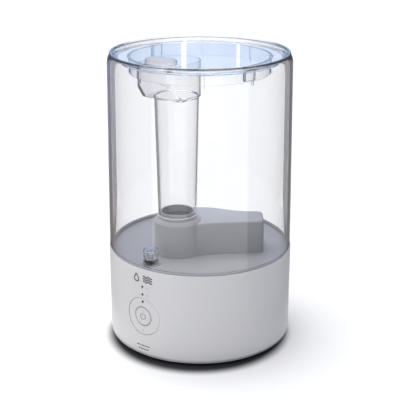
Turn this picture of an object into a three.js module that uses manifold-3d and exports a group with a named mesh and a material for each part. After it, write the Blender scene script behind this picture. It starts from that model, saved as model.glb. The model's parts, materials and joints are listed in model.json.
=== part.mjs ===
// Cool mist humidifier with a clear top-fill tank: an ultrasonic base unit, a lift-off tank and a lift-off lid.
// Millimetres, +Z up. The origin is on the table under the middle of the base, and the control panel faces -Y.
import * as THREE from "three";
import { mergeVertices } from "three/addons/utils/BufferGeometryUtils.js";
import Module from "manifold-3d";

const wasm = await Module();
wasm.setup();

// ---------------------------------------------------------------- driving dimensions
const GAP = 0.3; // between pieces that touch on the real object
const THROUGH = 5; // how far a cutter runs past the face that it cuts

const BODY_RADIUS = 95;
const TOP_Z = 300.5;
const SEAM_Z = 98.5; // top edge of the base housing
const WALL = 2.6; // base housing

const FOOT_HEIGHT = 2.5;
const FOOT_RADIUS = 7;
const FOOT_CIRCLE = 74;
const PARTING_Z = 6.1; // line between the bottom cover and the housing

const TANK_RADIUS = 94.5; // at its foot: the wall leans in by its moulding draft
const SHOULDER_RADIUS = 92.6;
const TANK_WALL = 3;
const TANK_FLOOR_Z = 97; // wet side of the tank floor
const FLOOR_PLATE = 2.5;
const SHOULDER_Z = 287; // where the tank wall starts to curve in
const MOUTH_RADIUS = 90.3;
const LID_RADIUS = MOUTH_RADIUS - 0.1;

const LINE_X = -4; // the valve, mist tube, funnel and nozzle stand on one line, x = LINE_X
const TUBE_Y = -32.5;
const TUBE_BOTTOM_Z = 138.8;
const TUBE_TOP_Z = 260.2;
const TUBE_BOTTOM_RADIUS = 19.7;
const TUBE_TOP_RADIUS = 22.3;
const TUBE_WALL = 1.8;

const CUP_RADIUS = 24;
const CUP_LEDGE_Z = 134;
const CUP_WALL = 2.2;
const COLLAR_RADIUS = 17.5;
const COLLAR_BORE = 16.2;
const CUP_RING_Z = 136.8; // the tube's gasket stands on it
const CUP_RING_RADIUS = 19.6;
const COLLAR_TOP_Z = 141.7;
const DUCT_TURN = THREE.MathUtils.degToRad(37); // the air duct's direction, round from +X
const DUCT_TOP_Z = 131.7;
const DUCT_END_X = 65; // along the duct's own direction
const DUCT_WALL = 2;

const VALVE_Y = -75;
const VALVE_LIFT = 2; // how far the seated tank holds its valve open
const CAGE_RADIUS = 7.8;
const CAGE_TOP_Z = 112.3;

const DECK_Z = 84; // top of the water trough's deck
const SUMP_RADIUS = 46;
const SUMP_FLOOR_Z = 62.2;
const TROUGH_WALL = 2.2;

const PANEL_Z = 47; // centre of the power button
const BEZEL_RADIUS = 19.8;
const BUTTON_RADIUS = 10.2;
const BUTTON_TRAVEL = 0.7;
const LAMP_Z = [62.8, 70.9, 79.1];
const LAMP_RADIUS = 1.1;

const FAN_SIDE = 40;
const FAN_BOTTOM_Z = 43.5;
const FAN_TOP_Z = 53.5;
const FAN_X = 49; // along the duct's own direction
const FAN_Y = -15; // across it

const FLOAT_X = 26;
const FLOAT_Y = -50;

const LID_PLATE_Z = 296.6; // top of the recessed plate
const LID_PLATE = 2.2;
const SKIRT_RADIUS = 71.5;
const SKIRT_WALL = 1.6;
const SKIRT_BOTTOM_Z = 280.5;
const HOOD_HALF_WIDTH = 24;
const HOOD_BOTTOM_Z = 260.8;
const HOOD_WALL = 1.6;
const NOZZLE_HALF_WIDTH = 16;
const NOZZLE_BACK_Y = -46;
const NOZZLE_FRONT_Y = -67;
const NOZZLE_TOP_Z = 300.1;

const FINE = 48; // segments round the body
const MEDIUM = 28;
const SMALL = 12;

// ---------------------------------------------------------------- shape helpers
const rad = THREE.MathUtils.degToRad;

// A closed geometry as a manifold solid: vertices merged, and slivers at a lathe's axis dropped.
function solid(geometry) {
  const loose = geometry.index ? geometry.toNonIndexed() : geometry;
  loose.deleteAttribute("normal");
  loose.deleteAttribute("uv");
  const merged = mergeVertices(loose, 1e-3);
  const corners = [];
  for (let i = 0; i < merged.index.count; i += 3) {
    const [a, b, c] = [0, 1, 2].map((k) => merged.index.getX(i + k));
    if (a !== b && b !== c && c !== a) corners.push(a, b, c);
  }
  return new wasm.Manifold(
    new wasm.Mesh({
      numProp: 3,
      vertProperties: merged.attributes.position.array,
      triVerts: new Uint32Array(corners),
    }),
  );
}

// A profile of [radius, z] points turned about Z. It closes on itself, or starts and ends on the axis.
function turned(profile, segments = MEDIUM, x = 0, y = 0) {
  const area = profile.reduce((sum, [r, z], i) => {
    const [nextR, nextZ] = profile[(i + 1) % profile.length];
    return sum + r * nextZ - nextR * z;
  }, 0);
  const points = area > 0 ? [...profile] : [...profile].reverse();
  if (points.every(([r]) => r > 0)) points.push(points[0]);
  else while (points[0][0] !== 0 || points.at(-1)[0] !== 0) points.push(points.shift());
  const geometry = new THREE.LatheGeometry(points.map(([r, z]) => new THREE.Vector2(r, z)), segments);
  return solid(geometry.rotateX(Math.PI / 2).translate(x, y, 0));
}

const disc = (r, z0, z1, x = 0, y = 0, segments = MEDIUM) =>
  solid(
    new THREE.CylinderGeometry(r, r, z1 - z0, segments)
      .rotateX(Math.PI / 2)
      .translate(x, y, (z0 + z1) / 2),
  );

const ring = (inner, outer, z0, z1, x = 0, y = 0, segments = MEDIUM) =>
  turned([[inner, z0], [outer, z0], [outer, z1], [inner, z1]], segments, x, y);

const box = (x0, y0, z0, x1, y1, z1) =>
  solid(
    new THREE.BoxGeometry(x1 - x0, y1 - y0, z1 - z0)
      .translate((x0 + x1) / 2, (y0 + y1) / 2, (z0 + z1) / 2),
  );

// A rod along Y, as used on the control panel and the power inlet.
const rodY = (r, y0, y1, x, z, segments = SMALL) =>
  solid(new THREE.CylinderGeometry(r, r, y1 - y0, segments).translate(x, (y0 + y1) / 2, z));

const prism = (shape, z0, z1, curveSegments = 5) =>
  solid(
    new THREE.ExtrudeGeometry(shape, { depth: z1 - z0, bevelEnabled: false, curveSegments })
      .translate(0, 0, z0),
  );

const union = (...parts) => parts.reduce((all, part) => all.add(part));
const cut = (body, ...tools) => tools.reduce((rest, tool) => rest.subtract(tool), body);
const turnZ = (body, angle) => body.rotate([0, 0, THREE.MathUtils.radToDeg(angle)]);

// The duct's own frame is turned by DUCT_TURN, so duct and fan are drawn along it and turned into place.
const toDuct = (body) => turnZ(body, DUCT_TURN);
const cutAll = (body, tools) => cut(body, ...tools);
const around = (count, make, start = 0) =>
  Array.from({ length: count }, (_, i) => make(start + (i * 2 * Math.PI) / count, i));

// A closed outline moved inwards by a distance, for the inside of a thin-walled box.
function inset(points, distance) {
  const count = points.length;
  return points.map((point, i) => {
    const before = points[(i + count - 1) % count];
    const after = points[(i + 1) % count];
    const into = point.clone().sub(before).normalize();
    const out = after.clone().sub(point).normalize();
    const normal = new THREE.Vector2(-into.y - out.y, into.x + out.x).normalize();
    const spread = Math.max(0.5, -normal.x * into.y + normal.y * into.x);
    return point.clone().addScaledVector(normal, distance / spread);
  });
}

function roundedRectangle(x0, y0, x1, y1, r) {
  const shape = new THREE.Shape();
  shape.absarc(x1 - r, y0 + r, r, -Math.PI / 2, 0);
  shape.absarc(x1 - r, y1 - r, r, 0, Math.PI / 2);
  shape.absarc(x0 + r, y1 - r, r, Math.PI / 2, Math.PI);
  shape.absarc(x0 + r, y0 + r, r, Math.PI, 1.5 * Math.PI);
  return shape;
}

// A spring wire round a vertical axis, flat-ended.
function coil(radius, wire, z0, z1, turns, x, y) {
  const helix = new THREE.Curve();
  helix.getPoint = (t) => {
    const a = t * turns * 2 * Math.PI;
    return new THREE.Vector3(x + radius * Math.cos(a), y + radius * Math.sin(a), z0 + t * (z1 - z0));
  };
  const section = new THREE.Shape();
  section.absarc(0, 0, wire / 2, 0, 2 * Math.PI);
  return solid(
    new THREE.ExtrudeGeometry(section, { steps: turns * 10, extrudePath: helix, curveSegments: 2 }),
  );
}

// ---------------------------------------------------------------- materials
const finish = (color, roughness, metalness = 0, opacity = 1) =>
  new THREE.MeshStandardMaterial({ color, roughness, metalness, opacity, transparent: opacity < 1 });
const WHITE = finish(0xe4e4e6, 0.4);
const GREY = finish(0xa9acb6, 0.35);
const CLEAR = finish(0xeef2f8, 0.05, 0, 0.25);
const FROSTED = finish(0xdfe2e8, 0.4, 0, 0.6);
const BLACK_RUBBER = finish(0x1d1f20, 0.8);
const PALE_RUBBER = finish(0xc9ccd0, 0.7);
const STEEL = finish(0x9a9da1, 0.35, 1);
const BRASS = finish(0xb9974f, 0.35, 1);
const BOARD = finish(0x1f5a38, 0.6);
const DARK = finish(0x24262a, 0.5);
const LENS = finish(0x50545a, 0.2);
const FLOAT_FOAM = finish(0xd9d3c4, 0.8);

// ---------------------------------------------------------------- scene graph
const group = new THREE.Group();
const baseUnit = new THREE.Group();
const tank = new THREE.Group();
const lidUnit = new THREE.Group();
group.add(baseUnit, tank, lidUnit);

function place(parent, name, material, body) {
  const made = body.getMesh();
  const geometry = new THREE.BufferGeometry();
  geometry.setAttribute("position", new THREE.BufferAttribute(made.vertProperties, 3));
  geometry.setIndex(new THREE.BufferAttribute(made.triVerts, 1));
  const flat = geometry.toNonIndexed();
  flat.computeVertexNormals();
  const mesh = new THREE.Mesh(flat, material);
  mesh.name = name;
  parent.add(mesh);
}

// ---------------------------------------------------------------- base unit: shell
const BOSS_CIRCLE = 88.2;
const BOSS_RADIUS = 4.5;
const HOUSING_INSIDE = BODY_RADIUS - WALL;
const LEDGE_TOP_Z = DECK_Z - TROUGH_WALL - GAP;
const LEDGE_WIDTH = 2.4;
const BOSS_TOP_Z = 30;
const PILOT_RADIUS = 1.6; // the screws cut their own thread in it
const PILOT_TOP_Z = 24;
const PANEL_BACK_Y = -80; // how far in the panel's cutters reach
const INLET_Z = 18;
const INLET_HALF = { x: 6, z: 4.5 };
const INLET_FACE_Y = 94.2;

const bossSpots = around(4, (a) => [BOSS_CIRCLE * Math.cos(a), BOSS_CIRCLE * Math.sin(a)], rad(45));

const housing = cutAll(
  union(
    turned(
      [
        [HOUSING_INSIDE, PARTING_Z], [BODY_RADIUS - 0.2, PARTING_Z], [BODY_RADIUS, PARTING_Z + 0.6],
        [BODY_RADIUS, SEAM_Z - 0.7], [BODY_RADIUS - 0.7, SEAM_Z], [HOUSING_INSIDE, SEAM_Z],
        [HOUSING_INSIDE, LEDGE_TOP_Z], [HOUSING_INSIDE - LEDGE_WIDTH, LEDGE_TOP_Z],
        [HOUSING_INSIDE - LEDGE_WIDTH, LEDGE_TOP_Z - 2], [HOUSING_INSIDE, LEDGE_TOP_Z - 4.5],
      ],
      FINE,
    ),
    ...bossSpots.map(([x, y]) => disc(BOSS_RADIUS, PARTING_Z, BOSS_TOP_Z, x, y, SMALL)),
  ),
  [
    ...bossSpots.map(([x, y]) => disc(PILOT_RADIUS, PARTING_Z - THROUGH, PILOT_TOP_Z, x, y, SMALL)),
    rodY(BEZEL_RADIUS + GAP, -BODY_RADIUS - THROUGH, PANEL_BACK_Y, 0, PANEL_Z, 36),
    ...LAMP_Z.map((z) => rodY(LAMP_RADIUS + GAP, -BODY_RADIUS - THROUGH, PANEL_BACK_Y, 0, z)),
    box(
      -INLET_HALF.x - GAP, 84, INLET_Z - INLET_HALF.z - GAP,
      INLET_HALF.x + GAP, BODY_RADIUS + THROUGH, INLET_Z + INLET_HALF.z + GAP,
    ),
  ],
);
place(baseUnit, "base_housing", WHITE, housing);

const COVER_TOP_Z = 5;
const COVER_RIM_Z = PARTING_Z - GAP;
const FOOT_RECESS = 0.8;
const SCREW_HEAD = 3;
const SCREW_HOLE = 1.7;
const SLOT_PITCH = 5.5;
const SLOT_WIDTH = 3;
const SLOT_LENGTH = 32;
const BOARD_BOTTOM_Z = 24;
const DRIVER_BOARD = { x0: -60, y0: 8, x1: -14, y1: 55 };
const boardPosts = [
  [DRIVER_BOARD.x0 + 5, DRIVER_BOARD.y0 + 5], [DRIVER_BOARD.x1 - 5, DRIVER_BOARD.y0 + 5],
  [DRIVER_BOARD.x0 + 5, DRIVER_BOARD.y1 - 5], [DRIVER_BOARD.x1 - 5, DRIVER_BOARD.y1 - 5],
];
const footSpots = around(4, (a) => [FOOT_CIRCLE * Math.cos(a), FOOT_CIRCLE * Math.sin(a)], 0);
const grilleSlots = Array.from({ length: 7 }, (_, i) => {
  const across = FAN_Y + (i - 3) * SLOT_PITCH;
  return toDuct(box(
    FAN_X - SLOT_LENGTH / 2, across - SLOT_WIDTH / 2, 0,
    FAN_X + SLOT_LENGTH / 2, across + SLOT_WIDTH / 2, COVER_TOP_Z + THROUGH,
  ));
});

const cover = cutAll(
  union(
    turned(
      [
        [0, FOOT_HEIGHT], [91.6, FOOT_HEIGHT], [93.2, FOOT_HEIGHT + 0.7], [94.4, FOOT_HEIGHT + 2],
        [BODY_RADIUS - 0.3, COVER_RIM_Z], [91.8, COVER_RIM_Z], [91.8, COVER_TOP_Z], [0, COVER_TOP_Z],
      ],
      FINE,
    ),
    ...boardPosts.map(([x, y]) => disc(3, COVER_TOP_Z - 1, BOARD_BOTTOM_Z - GAP, x, y, 8)),
  ),
  [
    ...footSpots.map(([x, y]) => disc(FOOT_RADIUS + GAP, 0, FOOT_HEIGHT + FOOT_RECESS, x, y, 16)),
    ...bossSpots.map(([x, y]) => disc(SCREW_HOLE, 0, COVER_TOP_Z + THROUGH, x, y, SMALL)),
    ...bossSpots.map(([x, y]) => disc(SCREW_HEAD + GAP, 0, FOOT_HEIGHT + 1.4, x, y, SMALL)),
    ...grilleSlots,
  ],
);
place(baseUnit, "bottom_cover", WHITE, cover);

footSpots.forEach(([x, y], i) => {
  const top = FOOT_HEIGHT + FOOT_RECESS - GAP;
  const profile = [[0, 0], [FOOT_RADIUS - 0.8, 0], [FOOT_RADIUS, 0.8], [FOOT_RADIUS, top], [0, top]];
  place(baseUnit, `foot_${i + 1}`, BLACK_RUBBER, turned(profile, 16, x, y));
});

// A pan-head screw that points up, its head at the bottom.
function screw(x, y, headZ, headRadius, headHeight, shankRadius, tipZ) {
  const body = turned(
    [
      [0, headZ], [headRadius - 0.4, headZ], [headRadius, headZ + 0.4], [headRadius, headZ + headHeight],
      [shankRadius, headZ + headHeight], [shankRadius, tipZ - 1], [0, tipZ],
    ],
    8, x, y,
  );
  const slot = headRadius * 0.6;
  return cut(
    body,
    box(x - slot, y - 0.35, headZ - 1, x + slot, y + 0.35, headZ + 0.7),
    box(x - 0.35, y - slot, headZ - 1, x + 0.35, y + slot, headZ + 0.7),
  );
}
bossSpots.forEach(([x, y], i) =>
  place(baseUnit, `cover_screw_${i + 1}`, STEEL, screw(x, y, FOOT_HEIGHT - 0.3, SCREW_HEAD, 1.4, 1.3, 18)),
);

// ---------------------------------------------------------------- base unit: water trough
const CHIMNEY = { x0: FAN_X - 11, x1: FAN_X + 11, y0: FAN_Y - 9, y1: FAN_Y + 9, wall: 1.8, top: 112 };
const CLAMP_CIRCLE = 15.8;
const clampSpots = around(
  3,
  (a) => [LINE_X + CLAMP_CIRCLE * Math.cos(a), TUBE_Y + CLAMP_CIRCLE * Math.sin(a)],
  rad(90),
);
const PLENUM_TOP_Z = 62;
const PLENUM_BOTTOM_Z = FAN_TOP_Z + GAP;
const FAN_HOLE = FAN_SIDE / 2 - 1.5;
const fanCorners = [[-1, -1], [1, -1], [1, 1], [-1, 1]]
  .map(([i, j]) => [FAN_X + i * (FAN_SIDE / 2 - 3.7), FAN_Y + j * (FAN_SIDE / 2 - 3.7)]);
const TRANSDUCER_WINDOW = 9.4;
const RIM = { inner: 87.2, outer: 89.2, top: 92.5 }; // keeps water off the seam
const SEAL_BOTTOM = 56.3; // the mist maker hangs under the sump, clamped to three posts
const PIN_RADIUS = 2.2;

const trough = cutAll(
  union(
    disc(HOUSING_INSIDE - GAP, DECK_Z - TROUGH_WALL, DECK_Z, 0, 0, FINE),
    ring(RIM.inner, RIM.outer, DECK_Z - 1, RIM.top, 0, 0, FINE),
    disc(SUMP_RADIUS + TROUGH_WALL, SUMP_FLOOR_Z - TROUGH_WALL, DECK_Z - 1, LINE_X, TUBE_Y, 36),
    toDuct(box(CHIMNEY.x0, CHIMNEY.y0, PLENUM_TOP_Z - 1, CHIMNEY.x1, CHIMNEY.y1, CHIMNEY.top)),
    toDuct(
      box(
        FAN_X - FAN_SIDE / 2, FAN_Y - FAN_SIDE / 2, PLENUM_BOTTOM_Z,
        FAN_X + FAN_SIDE / 2, FAN_Y + FAN_SIDE / 2, PLENUM_TOP_Z,
      ),
    ),
    ...clampSpots.map(([x, y]) => disc(3, SEAL_BOTTOM - 0.1, SUMP_FLOOR_Z - 1, x, y, 8)),
  ),
  [
    disc(SUMP_RADIUS, SUMP_FLOOR_Z, DECK_Z + THROUGH, LINE_X, TUBE_Y, 36),
    disc(TRANSDUCER_WINDOW, 50, SUMP_FLOOR_Z + THROUGH, LINE_X, TUBE_Y, 24),
    toDuct(
      box(
        CHIMNEY.x0 + CHIMNEY.wall, CHIMNEY.y0 + CHIMNEY.wall, PLENUM_BOTTOM_Z - THROUGH,
        CHIMNEY.x1 - CHIMNEY.wall, CHIMNEY.y1 - CHIMNEY.wall, CHIMNEY.top + THROUGH,
      ),
    ),
    toDuct(disc(FAN_HOLE, 0, PLENUM_TOP_Z - CHIMNEY.wall, FAN_X, FAN_Y, 24)),
    ...clampSpots.map(([x, y]) => disc(1.1, 50, 59.5, x, y, 8)),
    ...fanCorners.map(([x, y]) => toDuct(disc(1.5, 0, 60, x, y, 8))),
  ],
);
// The pin that lifts the tank's valve, and the float's guide, are moulded on the sump floor.
const PLUNGER_BOTTOM_Z = 92.5;
const valvePin = turned(
  [[0, SUMP_FLOOR_Z - 1], [5, SUMP_FLOOR_Z - 1], [3, 70], [PIN_RADIUS, DECK_Z],
    [PIN_RADIUS, PLUNGER_BOTTOM_Z - GAP],
    [0, PLUNGER_BOTTOM_Z - GAP]],
  SMALL, LINE_X, VALVE_Y,
);
const FLOAT_POST_TOP_Z = 80;
const floatPost = disc(1.7, SUMP_FLOOR_Z - 1, FLOAT_POST_TOP_Z, FLOAT_X, FLOAT_Y, 12);
place(baseUnit, "water_trough", WHITE, union(trough, valvePin, floatPost));

const FLOAT = { bore: 2.2, radius: 9, bottom: 64, top: 74, edge: 0.6 };
place(baseUnit, "float", FLOAT_FOAM, turned(
  [
    [FLOAT.bore, FLOAT.bottom], [FLOAT.radius - FLOAT.edge, FLOAT.bottom],
    [FLOAT.radius, FLOAT.bottom + 0.8], [FLOAT.radius, FLOAT.top - 0.8],
    [FLOAT.radius - FLOAT.edge, FLOAT.top], [FLOAT.bore, FLOAT.top],
  ],
  16, FLOAT_X, FLOAT_Y,
));
const CAP_TOP_Z = FLOAT_POST_TOP_Z + 2;
place(baseUnit, "float_cap", PALE_RUBBER, turned(
  [
    [0, FLOAT_POST_TOP_Z + GAP], [3.6, FLOAT_POST_TOP_Z + GAP], [3.6, CAP_TOP_Z - 0.8],
    [2.4, CAP_TOP_Z], [0, CAP_TOP_Z],
  ],
  SMALL, FLOAT_X, FLOAT_Y,
));

// ---------------------------------------------------------------- base unit: mist maker
const SEAL = { bore: 8.8, groove: 10.4, outer: 12.6, lip: 1, height: 3.4 };
const sealTop = SEAL_BOTTOM + SEAL.height;
place(baseUnit, "transducer_seal", PALE_RUBBER, turned(
  [
    [SEAL.bore, SEAL_BOTTOM], [SEAL.outer, SEAL_BOTTOM], [SEAL.outer, sealTop], [SEAL.bore, sealTop],
    [SEAL.bore, sealTop - SEAL.lip], [SEAL.groove, sealTop - SEAL.lip],
    [SEAL.groove, SEAL_BOTTOM + SEAL.lip], [SEAL.bore, SEAL_BOTTOM + SEAL.lip],
  ],
  20, LINE_X, TUBE_Y,
));
const discBottom = SEAL_BOTTOM + SEAL.lip + GAP;
const discTop = sealTop - SEAL.lip - GAP;
place(baseUnit, "transducer_disc", BRASS, disc(SEAL.groove - GAP, discBottom, discTop, LINE_X, TUBE_Y, 20));
const CLAMP = { inner: 9.2, outer: 19, top: 55.9, thickness: 1.3 };
place(baseUnit, "transducer_clamp", STEEL, cutAll(
  ring(CLAMP.inner, CLAMP.outer, CLAMP.top - CLAMP.thickness, CLAMP.top, LINE_X, TUBE_Y, 20),
  clampSpots.map(([x, y]) => disc(1.2, 50, 60, x, y, 8)),
));
clampSpots.forEach(([x, y], i) =>
  place(baseUnit, `clamp_screw_${i + 1}`, STEEL, screw(x, y, 53.1, 2.2, 1.2, 0.8, 59)),
);

const boardTop = BOARD_BOTTOM_Z + 1.6;
place(baseUnit, "driver_board", BOARD, cutAll(
  box(DRIVER_BOARD.x0, DRIVER_BOARD.y0, BOARD_BOTTOM_Z, DRIVER_BOARD.x1, DRIVER_BOARD.y1, boardTop),
  boardPosts.map(([x, y]) => disc(1.5, 0, 40, x, y, 8)),
));
const sinkFins = new THREE.Shape();
sinkFins.moveTo(0, 0);
for (let i = 0; i < 6; i++) {
  sinkFins.lineTo(i * 5, 18);
  sinkFins.lineTo(i * 5 + 1.6, 18);
  sinkFins.lineTo(i * 5 + 1.6, 3);
  if (i < 5) sinkFins.lineTo(i * 5 + 5, 3);
}
sinkFins.lineTo(26.6, 0);
place(baseUnit, "driver_heat_sink", STEEL, solid(
  new THREE.ExtrudeGeometry(sinkFins, { depth: 22, bevelEnabled: false })
    .rotateX(Math.PI / 2)
    .translate(-50, 43, boardTop + GAP),
));

// ---------------------------------------------------------------- base unit: fan
const HUB_RADIUS = 8;
const struts = around(3, (a) => turnZ(box(0, -1.3, FAN_BOTTOM_Z, FAN_HOLE + 0.6, 1.3, FAN_BOTTOM_Z + 1.5), a));
const fanFrame = union(
  cutAll(
    box(-FAN_SIDE / 2, -FAN_SIDE / 2, FAN_BOTTOM_Z, FAN_SIDE / 2, FAN_SIDE / 2, FAN_TOP_Z),
    [
      disc(FAN_HOLE, 0, 90, 0, 0, 24),
      ...fanCorners.map(([x, y]) => disc(1.7, 0, 90, x - FAN_X, y - FAN_Y, 8)),
    ],
  ),
  ...struts,
  disc(HUB_RADIUS, FAN_BOTTOM_Z, FAN_BOTTOM_Z + 1.5, 0, 0, 24),
);
place(baseUnit, "fan_frame", DARK, toDuct(fanFrame.translate([FAN_X, FAN_Y, 0])));

const BLADES = 7;
const BLADE = { thickness: 1.2, chord: 8.5, pitch: rad(38), middleZ: 49.2 };
const blades = around(BLADES, (a) => {
  const blade = new THREE.BoxGeometry(FAN_HOLE - HUB_RADIUS, BLADE.thickness, BLADE.chord).rotateX(BLADE.pitch);
  blade.translate((FAN_HOLE + HUB_RADIUS) / 2 - 1.4, 0, BLADE.middleZ);
  return turnZ(solid(blade), a);
});
const rotor = union(disc(HUB_RADIUS, FAN_BOTTOM_Z + 1.9, 52.8, 0, 0, 24), ...blades);
place(baseUnit, "fan_rotor", DARK, toDuct(rotor.translate([FAN_X, FAN_Y, 0])));
fanCorners.forEach(([x, y], i) =>
  place(baseUnit, `fan_screw_${i + 1}`, STEEL, toDuct(screw(x, y, 41.8, 2.6, 1.4, 1.2, 58))),
);

// ---------------------------------------------------------------- base unit: control panel and inlet
const curvedShell = (inner, outer) => ring(inner, outer, 20, 90, 0, 0, 96);
const BEZEL_BACK = HOUSING_INSIDE;
const BEZEL_FACE = BODY_RADIUS - 0.3;
place(baseUnit, "control_bezel", WHITE, cut(
  rodY(BEZEL_RADIUS, -BODY_RADIUS - THROUGH, PANEL_BACK_Y, 0, PANEL_Z, 36)
    .intersect(curvedShell(BEZEL_BACK, BEZEL_FACE)),
  rodY(BUTTON_RADIUS + GAP, -BODY_RADIUS - THROUGH, PANEL_BACK_Y, 0, PANEL_Z, 32),
  rodY(LAMP_RADIUS + GAP, -BODY_RADIUS - THROUGH, PANEL_BACK_Y, 0, LAMP_Z[0]),
));
const SWITCH_TOP_Y = -90.2;
const STEM_END_Y = SWITCH_TOP_Y - BUTTON_TRAVEL - 0.2;
place(baseUnit, "power_button", WHITE, union(
  rodY(BUTTON_RADIUS, -BODY_RADIUS - THROUGH, PANEL_BACK_Y, 0, PANEL_Z, 32)
    .intersect(curvedShell(BEZEL_BACK + 0.2, BODY_RADIUS)),
  rodY(2.2, -94, STEM_END_Y, 0, PANEL_Z),
));
LAMP_Z.forEach((z, i) =>
  place(baseUnit, `lamp_lens_${i + 1}`, LENS, rodY(LAMP_RADIUS, -BODY_RADIUS + 0.1, -86.9, 0, z, 12)),
);
const BOARD_FACE_Y = -86.5;
place(baseUnit, "control_board", BOARD, box(-15, BOARD_FACE_Y, 28, 15, BOARD_FACE_Y + 1.6, 81));
place(baseUnit, "button_switch", DARK, union(
  box(-3, -89.4, PANEL_Z - 3, 3, BOARD_FACE_Y - GAP, PANEL_Z + 3),
  rodY(1.6, SWITCH_TOP_Y, -89, 0, PANEL_Z, 12),
));
place(baseUnit, "power_inlet", DARK, union(
  cut(
    box(
      -INLET_HALF.x, 82, INLET_Z - INLET_HALF.z,
      INLET_HALF.x, INLET_FACE_Y, INLET_Z + INLET_HALF.z,
    ),
    rodY(3.2, 86, 100, 0, INLET_Z),
  ),
  rodY(0.9, 85, 93, 0, INLET_Z, 8),
));

// ---------------------------------------------------------------- tank
const FLANGE_BOTTOM_Z = SEAM_Z + 0.4;
const FLANGE_TOP_Z = FLANGE_BOTTOM_Z + 1.2;
const FLOOR_RADIUS = TANK_RADIUS - TANK_WALL - 0.5;
const FLOOR_SKIRT = HOUSING_INSIDE - GAP;

// Shoulder: a quarter-ellipse from the straight wall to the mouth, followed at one wall's thickness inside.
const SHOULDER_TURN = rad(68);
function shoulder(radius, mouth, topZ, steps) {
  return Array.from({ length: steps + 1 }, (_, i) => {
    const t = (i / steps) * SHOULDER_TURN;
    const drop = (1 - Math.cos(t)) / (1 - Math.cos(SHOULDER_TURN));
    const rise = Math.sin(t) / Math.sin(SHOULDER_TURN);
    return [radius - (radius - mouth) * drop, SHOULDER_Z + (topZ - SHOULDER_Z) * rise];
  });
}
const MOUTH_Z = TOP_Z - 2.5;
const wallBottom = FLANGE_TOP_Z + GAP;
const tankWall = turned(
  [
    [TANK_RADIUS - TANK_WALL, wallBottom], [TANK_RADIUS, wallBottom],
    ...shoulder(SHOULDER_RADIUS, MOUTH_RADIUS, MOUTH_Z, 4),
    ...shoulder(SHOULDER_RADIUS - TANK_WALL, MOUTH_RADIUS - TANK_WALL, MOUTH_Z, 4).reverse(),
  ],
  FINE,
);
place(tank, "tank_wall", CLEAR, tankWall);

// The duct's outline: straight along the front, waisted along the back, round at its far end.
function ductOutline() {
  const shape = new THREE.Shape();
  shape.moveTo(-22, -40);
  shape.lineTo(-4, -38);
  shape.quadraticCurveTo(24, -30.5, DUCT_END_X - 5, -30);
  shape.absarc(DUCT_END_X - 5, -25, 5, -Math.PI / 2, 0);
  shape.absarc(DUCT_END_X - 5, -4, 5, 0, Math.PI / 2);
  shape.bezierCurveTo(24, 1, 26, 14, -2, 14);
  shape.quadraticCurveTo(-20, 13, -28, -4);
  return shape.getPoints(5);
}
const outline = ductOutline();
const outlineShape = new THREE.Shape(outline);
const hollowShape = new THREE.Shape(inset(outline, DUCT_WALL));
const floorBottom = TANK_FLOOR_Z - FLOOR_PLATE;
const SKIRT_FOOT_Z = 88; // the floor's skirt centres the tank inside the housing
const SKIRT_THICKNESS = 2.2;
const VALVE_HOLE = 3.8;
const VALVE_RIM = { inner: 8.2, outer: 9.6, height: 0.8 };

const tankFloor = cut(
  union(
    turned(
      [
        [0, floorBottom], [FLOOR_SKIRT - SKIRT_THICKNESS, floorBottom],
        [FLOOR_SKIRT - SKIRT_THICKNESS, SKIRT_FOOT_Z], [FLOOR_SKIRT, SKIRT_FOOT_Z],
        [FLOOR_SKIRT, FLANGE_BOTTOM_Z], [TANK_RADIUS, FLANGE_BOTTOM_Z], [TANK_RADIUS, FLANGE_TOP_Z],
        [FLOOR_RADIUS, FLANGE_TOP_Z], [FLOOR_RADIUS, TANK_FLOOR_Z], [0, TANK_FLOOR_Z],
      ],
      FINE,
    ),
    turned(
      [
        [0, floorBottom], [CUP_RADIUS, floorBottom], [CUP_RADIUS, CUP_LEDGE_Z - 2.5],
        [CUP_RADIUS - 2, CUP_LEDGE_Z], [CUP_RING_RADIUS, CUP_LEDGE_Z + 1], [CUP_RING_RADIUS, CUP_RING_Z],
        [COLLAR_RADIUS, CUP_RING_Z], [COLLAR_RADIUS, COLLAR_TOP_Z], [0, COLLAR_TOP_Z],
      ],
      MEDIUM, LINE_X, TUBE_Y,
    ),
    toDuct(prism(outlineShape, floorBottom, DUCT_TOP_Z)),
    ring(
      VALVE_RIM.inner, VALVE_RIM.outer, TANK_FLOOR_Z - 1, TANK_FLOOR_Z + VALVE_RIM.height,
      LINE_X, VALVE_Y, 24,
    ),
  ),
  turned(
    [
      [0, floorBottom - THROUGH], [CUP_RADIUS - CUP_WALL, floorBottom - THROUGH],
      [CUP_RADIUS - CUP_WALL, CUP_LEDGE_Z - 4], [COLLAR_BORE, CUP_LEDGE_Z + 1],
      [COLLAR_BORE, COLLAR_TOP_Z + THROUGH], [0, COLLAR_TOP_Z + THROUGH],
    ],
    MEDIUM, LINE_X, TUBE_Y,
  ),
  toDuct(prism(hollowShape, floorBottom - THROUGH, DUCT_TOP_Z - DUCT_WALL)),
  disc(VALVE_HOLE, floorBottom - THROUGH, TANK_FLOOR_Z + THROUGH, LINE_X, VALVE_Y, SMALL),
);
place(tank, "tank_floor", GREY, tankFloor);

place(tank, "mist_tube", CLEAR, turned(
  [
    [TUBE_BOTTOM_RADIUS - TUBE_WALL, TUBE_BOTTOM_Z], [TUBE_BOTTOM_RADIUS, TUBE_BOTTOM_Z],
    [TUBE_TOP_RADIUS, TUBE_TOP_Z], [TUBE_TOP_RADIUS - TUBE_WALL, TUBE_TOP_Z],
  ],
  MEDIUM, LINE_X, TUBE_Y,
));
const GASKET = { inner: 17.9, outer: 20 };
place(tank, "tube_gasket", PALE_RUBBER, ring(
  GASKET.inner, GASKET.outer, CUP_RING_Z + GAP, TUBE_BOTTOM_Z - GAP, LINE_X, TUBE_Y, MEDIUM,
));

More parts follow.
